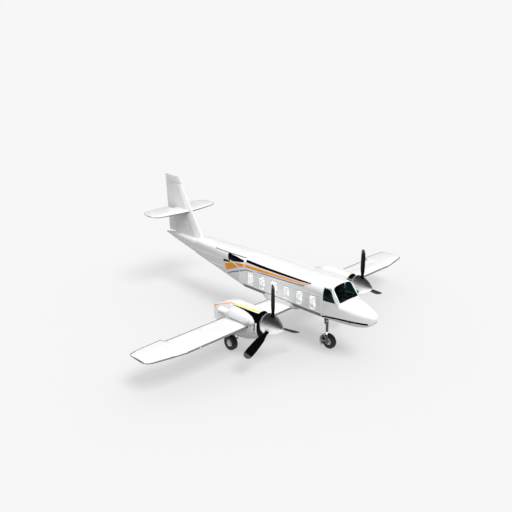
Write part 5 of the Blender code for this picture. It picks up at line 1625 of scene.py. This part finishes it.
def wingSeams():
    skin = skinTree("wingSkin_")
    beads, heads = [], []
    lines = [[(6.6, -2.29), (6.6, -2.82)], [(6.86, -2.0), (6.86, -2.76)],
        [(6.957, -1.957), (6.845, -1.997), (6.936, -2.245)], [(5.1, -2.0), (5.24, -2.67)],
        [(5.74, -2.22), (6.36, -2.22)], [(3.7, -2.42), (5.6, -2.42)], [(1.1, -2.42), (2.4, -2.42)]]
    lampX = 5.9
    for side, label in sides:
        for path in lines:
            spots = fromAbove(skin, [(side * x, y) for x, y in path])
            beads.append(bead(spots, seamTone, 0.005, 0.0006))
        for y in (-2.66, -2.36, -2.04):
            for way, height in ((-1, 2.6), (1, 0.8)):
                for ends in ((3.6, 7.2), (1.0, 2.3)):
                    heads.append(rivets(fromAbove(skin, [(side * x, y) for x in ends], height, way)))
        for x in (1.6, 3.75, 4.4, 5.05, 5.7, 6.4, 7.1):
            heads.append(rivets(fromAbove(skin, [(side * x, -2.8), (side * x, -1.98)]), white, 0.08))
        for x in (4.15, 5.95):
            at, out = fromAbove(skin, [(side * x, -2.52), (side * x, -2.519)])[0]
            beads.append(lathe("fuelCap", [(-0.002, 0.055), (0.002, 0.055), (0.004, 0.05), (0.004, 0.032),
                (0.0015, 0.03)], at, out, white, 32))
            latch = Vector((0.02, 0.006, 0))
            beads.append(boxPiece("latch", at - latch, at + latch + Vector((0, 0, 0.005)), guardWhite, 0.002,
                1))
        lamp = (side * lampX, wingShape(lampX)[0] + 0.006, wing["z"])
        beads.append(lathe("lampRim", [(-0.004, 0.052), (0.004, 0.054), (0.008, 0.05), (0.004, 0.046)], lamp,
            (0, -1, 0), steelTone, 32))
        beads.append(lathe("lampGlass", [(0.0, 0.046), (0.006, 0.036), (0.01, 0.018), (0.011, 0.002)], lamp,
            (0, -1, 0), clearLens, 32))
        lens = []
        for share in (0.0, 0.25, 0.5, 0.75, 1.0):
            x = 7.98 + 0.12 * share
            front = wingShape(x)[0]
            r = 0.004 + 0.024 * sin(pi * (0.1 + 0.8 * share))
            lens.append([(side * x, front + 0.012 - r * cos(t), wing["z"] + 0.8 * r * sin(t))
                for t in around(20)])
        beads.append(loft("navLens", lens, redLens if side > 0 else greenLens))
        for x in (5.2, 5.8, 6.4):
            name = "wick_%s_%d" % (label, x * 10)
            discharger = wick(name, side * x, wingShape(x)[1], wing["z"], 0.1, 0.004)
            attach(discharger, "aileron_" + label, "black_paint")
    fit("wingSeams", beads)
    fit("wingRivets", heads)


def podSeams():
    skin = skinTree("nacelle")
    beads, heads = [], []
    lines = [([(-3.12, 2.063), (-2.9, 1.1)], 0.008, 0.001), ([(-2.55, 2.2), (-2.55, 1.05)], 0.005, 0.0008),
        ([(-1.87, 2.24), (-1.87, 1.05)], 0.006, 0.0008), ([(-3.24, 1.4), (-1.2, 1.36)], 0.005, 0.0008)]
    for side, _ in sides:
        middle = side * pod["x"]
        for inner in (1, -1):  # outboard flank, then inboard
            way = side * inner
            start = middle + way * 2.0
            for path, width, height in lines:
                spots = project(skin, [(start, y, z) for y, z in path], (-way, 0, 0))
                beads.append(bead(spots, seamTone, width, height))
                lifted = project(skin, [(start, y + 0.02, z + 0.02) for y, z in path], (-way, 0, 0))
                heads.append(rivets(lifted, white, 0.05, 0.003))
            for k in range(4):
                y = -2.42 + 0.1 * k
                at = project(skin, [(start, y, 1.22), (start, y + 0.001, 1.22)], (-way, 0, 0))[0][0]
                beads.append(boxPiece("louvre", (at.x - 0.012, y - 0.03, 1.2),
                    (at.x + 0.012, y + 0.03, 1.212), white, 0.003, 1))
        outward = middle + side * 2.0
        inlet = [(y - 3.3, z + 1.575) for y, z in roundedOutline(0.15, 0.24, 0.06)]
        spots = project(skin, [(outward, y, z) for y, z in inlet + inlet[:1]], (-side, 0, 0), 0.02)
        beads.append(bead([spot for spot in spots if spot[0].y > -3.29], black, 0.02, 0.006))
        for z, y in ((2.3, -2.9), (2.33, -2.3)):
            at = fromAbove(skin, [(middle - side * 0.12, y), (middle - side * 0.12, y + 0.001)],
                height=3.0)[0]
            beads.append(lathe("filler", [(-0.002, 0.04), (0.002, 0.04), (0.0035, 0.036), (0.0035, 0.004)],
                at[0], at[1], white, 28))
    fit("podSeams", beads)
    fit("podRivets", heads)


def tailSeams():
    skin = skinTree("finSkin")
    rudder = skinTree("rudderSkin")
    plane = skinTree("tailplaneSkin")
    beads, heads, marks = [], [], []
    for side, _ in sides:
        for path in ([(4.94, 3.65), (5.85, 3.65)], [(4.95, 3.29), (4.95, 3.67)]):
            beads.append(bead(fromSide(skin, path, side, 1.0), bandWhite, 0.026, 0.008))
        rows = [[(finLead(z) + 0.1, z), (rudderHinge(z) - 0.12, z)] for z in (3.4, 3.9, 4.6, 5.1, 5.5)]
        rows += [[(finLead(z) + (rudderHinge(z) - finLead(z)) * share, z) for z in (3.3, 4.0, 4.8, 5.5)]
            for share in (0.3, 0.62)]
        heads += [rivets(fromSide(skin, path, side, 1.0), white, 0.07) for path in rows]
        rows = [[(rudderHinge(z) + 0.06, z), (rudderTrail(z) - 0.05, z)]
            for z in (3.2, 3.65, 4.0, 4.6, 5.0, 5.4)]
        marks += [rivets(fromSide(rudder, path, side, 1.0), white, 0.05) for path in rows]
        tab = fromSide(rudder, [(6.42, 3.15), (6.44, 4.05), (6.66, 4.06)], side, 1.0)
        marks.append(bead(tab, seamTone, 0.006, 0.0008))
        for y, z in ((6.24, 5.56), (6.36, 5.5)):  # two dark marks on the horn
            spots = fromSide(rudder, [(y, z), (y + 0.05, z - 0.01)], side, 1.0)
            marks.append(bead(spots, blackSeal, 0.022, 0.002))
        rows = [[(side * 0.12, y), (side * 1.75, y)] for y in (5.15, 5.45, 5.72)]
        rows += [[(side * x, 5.02), (side * x, 5.8)] for x in (0.4, 0.9, 1.4)]
        for way, height in ((-1, 5.0), (1, 3.6)):
            heads += [rivets(fromAbove(plane, path, height, way), white, 0.07) for path in rows]
    fit("tailSeams", beads)
    fit("tailRivets", heads)
    marks += [wick("wick", 0, rudderTrail(z), z, 0.08) for z in (5.0, 5.3, 5.6)]
    attach(gather("rudderDetails", marks), "rudder", "white_paint")
    for side, label in sides:
        parts = [wick("wick", side * x, tailLine(x)[1], tail["z"], 0.09) for x in (1.0, 1.5)]
        attach(gather("elevatorWicks_" + label, parts), "elevator_" + label, "black_paint")


def blade(name, base, height, rootChord, tipChord, sweep, tone, up=1):
    rings = []
    for share in (0.0, 0.5, 0.9, 0.97, 1.0):
        chord = rootChord + (tipChord - rootChord) * share
        if share > 0.95:
            chord *= 0.8
        rings.append(profileRing(base[1] + sweep * share, base[1] + sweep * share + chord, 0.13, lambda c, t,
            s=share: (base[0] + t, c, base[2] + up * height * s), shares=10))
    return loft(name, rings, tone)


def aerials():
    parts = [
        blade("bellyAerial", (0, -0.35, 1.8), 0.16, 0.14, 0.07, 0.05, white, up=-1),
        blade("bellyAerial", (0, -4.0, 1.8), 0.14, 0.12, 0.06, 0.04, white, up=-1),
        lathe("beaconBase", [(-0.02, 0.055), (0.008, 0.055), (0.014, 0.045)], (0, 0.02, 1.785), (0, 0, -1),
            steelTone, 32),
        lathe("beaconLens", [(0.0, 0.044), (0.03, 0.04), (0.052, 0.026), (0.06, 0.004)], (0, 0.02, 1.772),
            (0, 0, -1), redLens, 32),
    ]
    post = [(-0.0145, 0.024), (0.0145, 0.024), (0.0145, 0.757), (-0.0145, 0.757)]
    parts.append(slab("postCover", post, (0.0003, 0.0022), onScreen, cockpitTone))
    for side, _ in sides:
        parts.append(tube("pitot", [(side * 0.6, -5.9, 1.99), (side * 0.68, -5.92, 1.985),
            (side * 0.695, -5.95, 1.985), (side * 0.695, -6.12, 1.985)], 0.011, steelTone, 12))
        parts.append(rod("wiperArm", (side * 0.1, -5.475, 2.6), onScreen(side * 0.34, 0.12, 0.012), 0.006,
            blackSeal, 8))
        parts.append(rod("wiperBlade", onScreen(side * 0.22, 0.035, 0.01), onScreen(side * 0.44, 0.2, 0.01),
            0.005, blackSeal, 8))
        parts.append(rod("wiperPost", (side * 0.1, -5.46, 2.575), (side * 0.1, -5.478, 2.606), 0.014,
            blackSeal, 14))
    fit("aerials", parts)
    leaf = skinTree("airstairDoor")
    at = fromSide(leaf, [(0.98, 2.62), (0.981, 2.62)], 1)[0][0]
    parts = [
        boxPiece("handleCup", (at.x - 0.004, 0.88, 2.585), (at.x + 0.003, 1.0, 2.655), seamTone, 0.002, 1),
        boxPiece("handle", (at.x + 0.002, 0.895, 2.61), (at.x + 0.016, 0.985, 2.63), chrome, 0.004),
    ]
    attach(gather("doorHandle", parts), "airstair_door", "polished_metal")


fuselageSeams()
wingSeams()
podSeams()
tailSeams()
aerials()
print("seams, rivets and aerials are on")


# seats, floor and panel

seating = {
    "x": 0.50, "pilotX": 0.32, "pilotBack": -4.82, "rearward": -0.10, "deck": 1.98,
    "pads": {"base": ((-0.20, -0.41, 2.272), (0.20, -0.075, 2.358)),
        "back": ((-0.193, -0.058, 2.335), (0.193, 0.030, 2.792)),
        "head": ((-0.140, -0.038, 2.805), (0.140, 0.036, 2.958))},
    "voxel": 0.014, "pressure": 4.0, "frames": 20, "cap": 0.024, "shrink": 0.012, "edge": 0.028,
}


def swell(piece, low, high):  # remesh, inflate as cloth, then hold every point inside the solid's own space
    remesh = piece.modifiers.new("even", "REMESH")
    remesh.mode = "VOXEL"
    remesh.voxel_size = seating["voxel"]
    settle(piece)
    rest = [v.co.copy() for v in piece.data.vertices]
    cloth = piece.modifiers.new("cloth", "CLOTH").settings
    cloth.use_pressure = True
    cloth.uniform_pressure_force = seating["pressure"]
    cloth.effector_weights.gravity = 0.0
    cloth.quality = 5
    for step in range(1, seating["frames"] + 1):
        scene.frame_set(step)
    held = piece.evaluated_get(bpy.context.evaluated_depsgraph_get())
    moved = [v.co.copy() for v in held.data.vertices]
    piece.modifiers.clear()
    scene.frame_set(1)
    for vertex, start, end in zip(piece.data.vertices, rest, moved):
        run = end - start
        if run.length > seating["cap"]:
            run *= seating["cap"] / run.length
        vertex.co = [min(max(v, a), b) for v, a, b in zip(start + run, low, high)]
    return smooth(piece, 60)


def loopTube(name, path, radius, tone):  # a closed round cord, such as piping
    rings = []
    for i, point in enumerate(path):
        run = (Vector(path[(i + 1) % len(path)]) - Vector(path[i - 1])).normalized()
        _, side, up = frameOf(run)
        rings.append([Vector(point) + (side * cos(t) + up * sin(t)) * radius for t in around(8)])
    return loft(name, rings, tone, closed=True)


def laidOn(piece, points, way):  # drops points onto a piece along one direction
    work = BVHTree.FromPolygons([v.co for v in piece.data.vertices],
        [p.vertices for p in piece.data.polygons])
    found = []
    for point in points:
        hit = work.ray_cast(Vector(point) - Vector(way) * 0.3, Vector(way))[0]
        if hit:
            found.append(hit)
    return found


def makePad(kind, tone, cordTone):
    low, high = seating["pads"][kind]
    inset = seating["shrink"]
    body = boxPiece(kind + "Pad", [v + inset for v in low], [v - inset for v in high], tone, seating["edge"],
        3)
    swell(body, low, high)
    flat, way = ((0, 1), (0, 0, -1)) if kind == "base" else ((0, 2), yAxis)
    middle = [(low[k] + high[k]) / 2 for k in flat]
    size = [high[k] - low[k] - 0.05 for k in flat]
    points = []
    for u, v in roundedOutline(*size, min(size) * 0.22, steps=5):
        point = [0.0, 0.0, 2.5] if kind == "base" else [0.0, -0.1, 0.0]
        point[flat[0]], point[flat[1]] = middle[0] + u, middle[1] + v
        points.append(point)
    ring = laidOn(body, points, way)
    cord = [a.lerp(b, t) for a, b in zip(ring, ring[1:] + ring[:1]) for t in (0.0, 0.5)]
    parts = [body, loopTube("piping", cord, 0.0028, cordTone)]
    shares = {"base": (0.36, 0.68), "back": (0.3, 0.62), "head": ()}[kind]
    for share in shares:
        line = []
        for k in range(19):
            point = [low[0] + 0.03 + (high[0] - low[0] - 0.06) * k / 18, -0.1, 2.5]
            point[flat[1]] = low[flat[1]] + (high[flat[1]] - low[flat[1]]) * share
            line.append(point)
        parts.append(tube("seam", laidOn(body, line, way), 0.002, cordTone, 6))
    return gather(kind + "Cushion", parts)


def seatShell(name, tone, sideTone):
    outer = [(-0.208, -0.03), (-0.208, 0.015), (-0.2, 0.034), (-0.18, 0.044), (-0.14, 0.048)]
    inner = [(0.197, -0.03), (0.197, 0.012), (0.188, 0.027), (0.172, 0.034)]
    section = [half + [(-u, v) for u, v in reversed(half)] for half in (outer, inner)]
    rings = []
    for z, share in ((2.27, 0.94), (2.275, 1.0), (2.4, 1.0), (2.72, 1.0), (2.765, 0.985), (2.785, 0.95),
            (2.797, 0.88)):
        rings.append([(u * share, v, z) for u, v in section[0] + section[1]])
    tray = [
        boxPiece("tray", (-0.205, -0.415, 2.243), (0.205, 0.015, 2.268), tone, 0.01),
        boxPiece("stalk", (-0.05, 0.012, 2.7), (0.05, 0.034, 2.9), tone, 0.008),
    ]
    side = [(u, 2.53 + v) for u, v in roundedOutline(0.07, 0.46, 0.03)]
    pads = [slab("sidePad", side, (x - 0.0015, x + 0.0015), throughSide(1), sideTone)
        for x in (-0.2085, 0.2085)]
    return [loft(name, rings, tone)] + tray + pads


def seatLegs(tone):
    parts = [boxPiece("foot", (-0.118, -0.318, 1.9815), (0.118, -0.062, 1.992), tone, 0.004)]
    for x in (-0.105, 0.105):
        parts += [rod("leg", (x, low, 1.99), (x * 0.9, high, 2.245), 0.011, tone, 14)
            for low, high in ((-0.3, -0.245), (-0.08, -0.135))]
        parts.append(rod("brace", (x, -0.285, 2.06), (x, -0.095, 2.06), 0.008, tone, 12))
    return parts + [rod("bar", (-0.1, y, 2.12), (0.1, y, 2.12), 0.009, tone, 12) for y in (-0.272, -0.108)]


def buckle():
    belt = [(0.202, 2.27), (0.202, 2.33), (0.17, 2.3595), (0.035, 2.3605), (0.035, 2.3625), (0.171, 2.3615),
        (0.2045, 2.331), (0.2045, 2.27)]
    belts = [slab("belt", [(s * x, z) for x, z in belt], (-0.155, -0.115), fromFront, blackSeal)
        for s in (1, -1)]
    return belts + [boxPiece("buckle", (-0.036, -0.16, 2.358), (0.036, -0.11, 2.366), steelTone, 0.003)]


def copies(parts, places):
    made = []
    for x, y in places:
        for part in parts:
            copy = addObject(part.name + "Copy", part.data.copy())
            copy.data.transform(Matrix.Translation((x, y, 0)))
            made.append(copy)
    return made


def fitSeats(pads, frames, places, names, extras):  # pads and frames at the places of both sides
    for (_, label), spots, extra in zip(sides, places, extras):
        attach(gather(names[0] + label, copies(pads, spots)), "airframe", "seat_fabric")
        attach(gather(names[1] + label, copies(frames, spots) + extra), "airframe", "panel_plastic",
            names[2] + label)
    for part in pads + frames:
        bpy.data.objects.remove(part)


def seats():
    cabinPads = [makePad(kind, seatCloth, pipingTone) for kind in ("base", "back", "head")]
    pilotPads = [addObject("pilot" + pad.name, pad.data.copy()) for pad in cabinPads]
    for pad in pilotPads:
        pad.data.materials[0], pad.data.materials[1] = pilotCloth, blackSeal
    backs = [y + seating["rearward"] for y in windowAt]
    tracks = [[boxPiece("track", (side * seating["x"] - 0.028, backs[-1] - 0.39, 1.9805),
        (side * seating["x"] + 0.028, backs[0] + 0.09, 2.004), steelTone, 0.004)] for side, _ in sides]
    fitSeats(cabinPads, seatShell("seatShell", shellGrey, seatTeal) + seatLegs(gearGrey) + buckle(),
        [[(side * seating["x"], y) for y in backs] for side, _ in sides],
        ("seatCushions_", "seatFrames_", "seats_"), tracks)
    fitSeats(pilotPads, seatShell("pilotShell", panelBlack, panelBlack) + seatLegs(slate) + buckle(),
        [[(side * seating["pilotX"], seating["pilotBack"])] for side, _ in sides],
        ("pilotCushions_", "pilotFrame_", "pilot_seat_"), ([], []))


def flightDeck():
    panel = [
        boxPiece("board", (-0.598, -5.398, 2.165), (0.598, -5.302, 2.498), panelBlack, 0.012),
        boxPiece("console", (-0.135, -5.395, 1.982), (0.135, -5.242, 2.17), panelBlack, 0.01),
    ]
    shield = [(-5.398, 2.498), (-5.398, 2.518), (-5.385, 2.529), (-5.262, 2.529), (-5.243, 2.522),
        (-5.242, 2.508), (-5.262, 2.5)]
    panel.append(slab("glareShield", shield, (-0.558, 0.558), throughSide(1), panelBlack))
    gauge = (("bezel", [(0.0, 0.046), (0.006, 0.045), (0.007, 0.038), (0.002, 0.037)], blackSeal),
        ("dial", [(0.0, 0.037), (0.003, 0.0365), (0.0032, 0.002)], dialFace))
    face = -5.302
    for side in (1, -1):
        for row, height in enumerate((2.42, 2.32)):
            for k in range(3):
                at = (side * (0.2 + 0.115 * k), face, height)
                for name, profile, tone in gauge:
                    panel.append(lathe(name, profile, at, yAxis, tone, 28))
                aim = 0.9 * k + 1.7 * row
                tip = (at[0] + 0.03 * cos(aim), face + 0.005, height + 0.03 * sin(aim))
                panel.append(rod("needle", (at[0], face + 0.005, height), tip, 0.0015, guardWhite, 6))
        x, rim = side * seating["pilotX"], face + 0.13
        yoke = [(x + 0.085 * cos(t), rim, 2.36 + 0.055 * sin(t) + 0.012 * cos(2 * t))
            for t in (radians(-215 + 250 * k / 24) for k in range(25))]
        panel.append(tube("yoke", yoke, 0.011, blackSeal))
        panel.append(rod("column", (x, face, 2.3), (x, face + 0.125, 2.31), 0.013, steelTone, 16))
        panel.append(rod("spoke", (x - 0.075, rim, 2.335), (x + 0.075, rim, 2.335), 0.009, blackSeal, 12))
    for k in range(4):
        x = -0.075 + 0.05 * k
        panel.append(rod("lever", (x, -5.26, 2.165), (x, -5.255, 2.235), 0.005, steelTone, 10))
        panel.append(lathe("knob", [(0, 0.004), (0.004, 0.012), (0.016, 0.012), (0.02, 0.004)],
            (x, -5.255, 2.232), zAxis, blackSeal, 16))
    for k in range(8):
        x = -0.1 + 0.2 * k / 7
        panel.append(boxPiece("switch", (x - 0.006, face, 2.455), (x + 0.006, face + 0.012, 2.475), steelTone,
            0.002, 1))
    attach(gather("instrumentPanel", panel), "airframe", "panel_plastic", "instrument_panel")

    parts = []
    for side, _ in sides:
        wall = [(side * 0.0006, 1.99), (side * 0.66, 1.99), (side * 0.745, 2.2), (side * 0.755, 2.8),
            (side * 0.7, 2.98), (side * 0.56, 3.12), (side * 0.38, 3.19), (side * 0.0006, 3.208)]
        for low, tone in ((-4.603, cockpitTone), (-4.593, lining)):
            parts.append(slab("bulkhead", wall, (low, low + 0.01), fromFront, tone))
        leaf = [(side * 0.13 + u, 2.58 + v) for u, v in roundedOutline(0.235, 1.12, 0.03)]
        for low, tone in ((-4.607, cockpitTone), (-4.583, lining)):
            parts.append(slab("doorLeaf", leaf, (low, low + 0.004), fromFront, tone))
    parts.append(lathe("knob", [(0, 0.008), (0.02, 0.008), (0.024, 0.016), (0.04, 0.016), (0.044, 0.008)],
        (0.04, -4.579, 2.5), yAxis, steelTone, 20))
    fit("cockpitBulkhead", parts, "panel_plastic")


def cabinFloor():
    dress("cabin_floor", carpet)
    deck = seating["deck"]
    parts = [boxPiece("runner", (-0.2, -4.55, deck + 0.0005), (0.2, 0.2, deck + 0.005), aisleTone, 0.002, 1)]
    parts += [boxPiece("strip", (x - 0.006, -4.55, deck + 0.0005), (x + 0.006, 0.2, deck + 0.008), steelTone,
        0.002, 1) for x in (-0.206, 0.206)]
    parts += [boxPiece("joint", (-0.74, y, deck + 0.0005), (0.74, y + 0.012, deck + 0.003), seamTone, 0.001,
        1) for y in (-4.45 + 0.75 * k for k in range(7))]
    fit("floorTrim", parts, "floor_panel")


pipingTone = finish("pipingCord", "cloth", (0.55, 0.56, 0.57), 0.8, Threads=400.0)
shellGrey = paint("shellGrey", (0.72, 0.73, 0.73), 0.5, 0.05, 0.6)
pilotCloth = finish("pilotCloth", "cloth", (0.008, 0.009, 0.012), 0.85)
aisleTone = finish("aisleRunner", "cloth", (0.52, 0.53, 0.54), 0.95, sheen=0.2, Threads=90.0)
seats()
flightDeck()
cabinFloor()
print("interior is fitted")
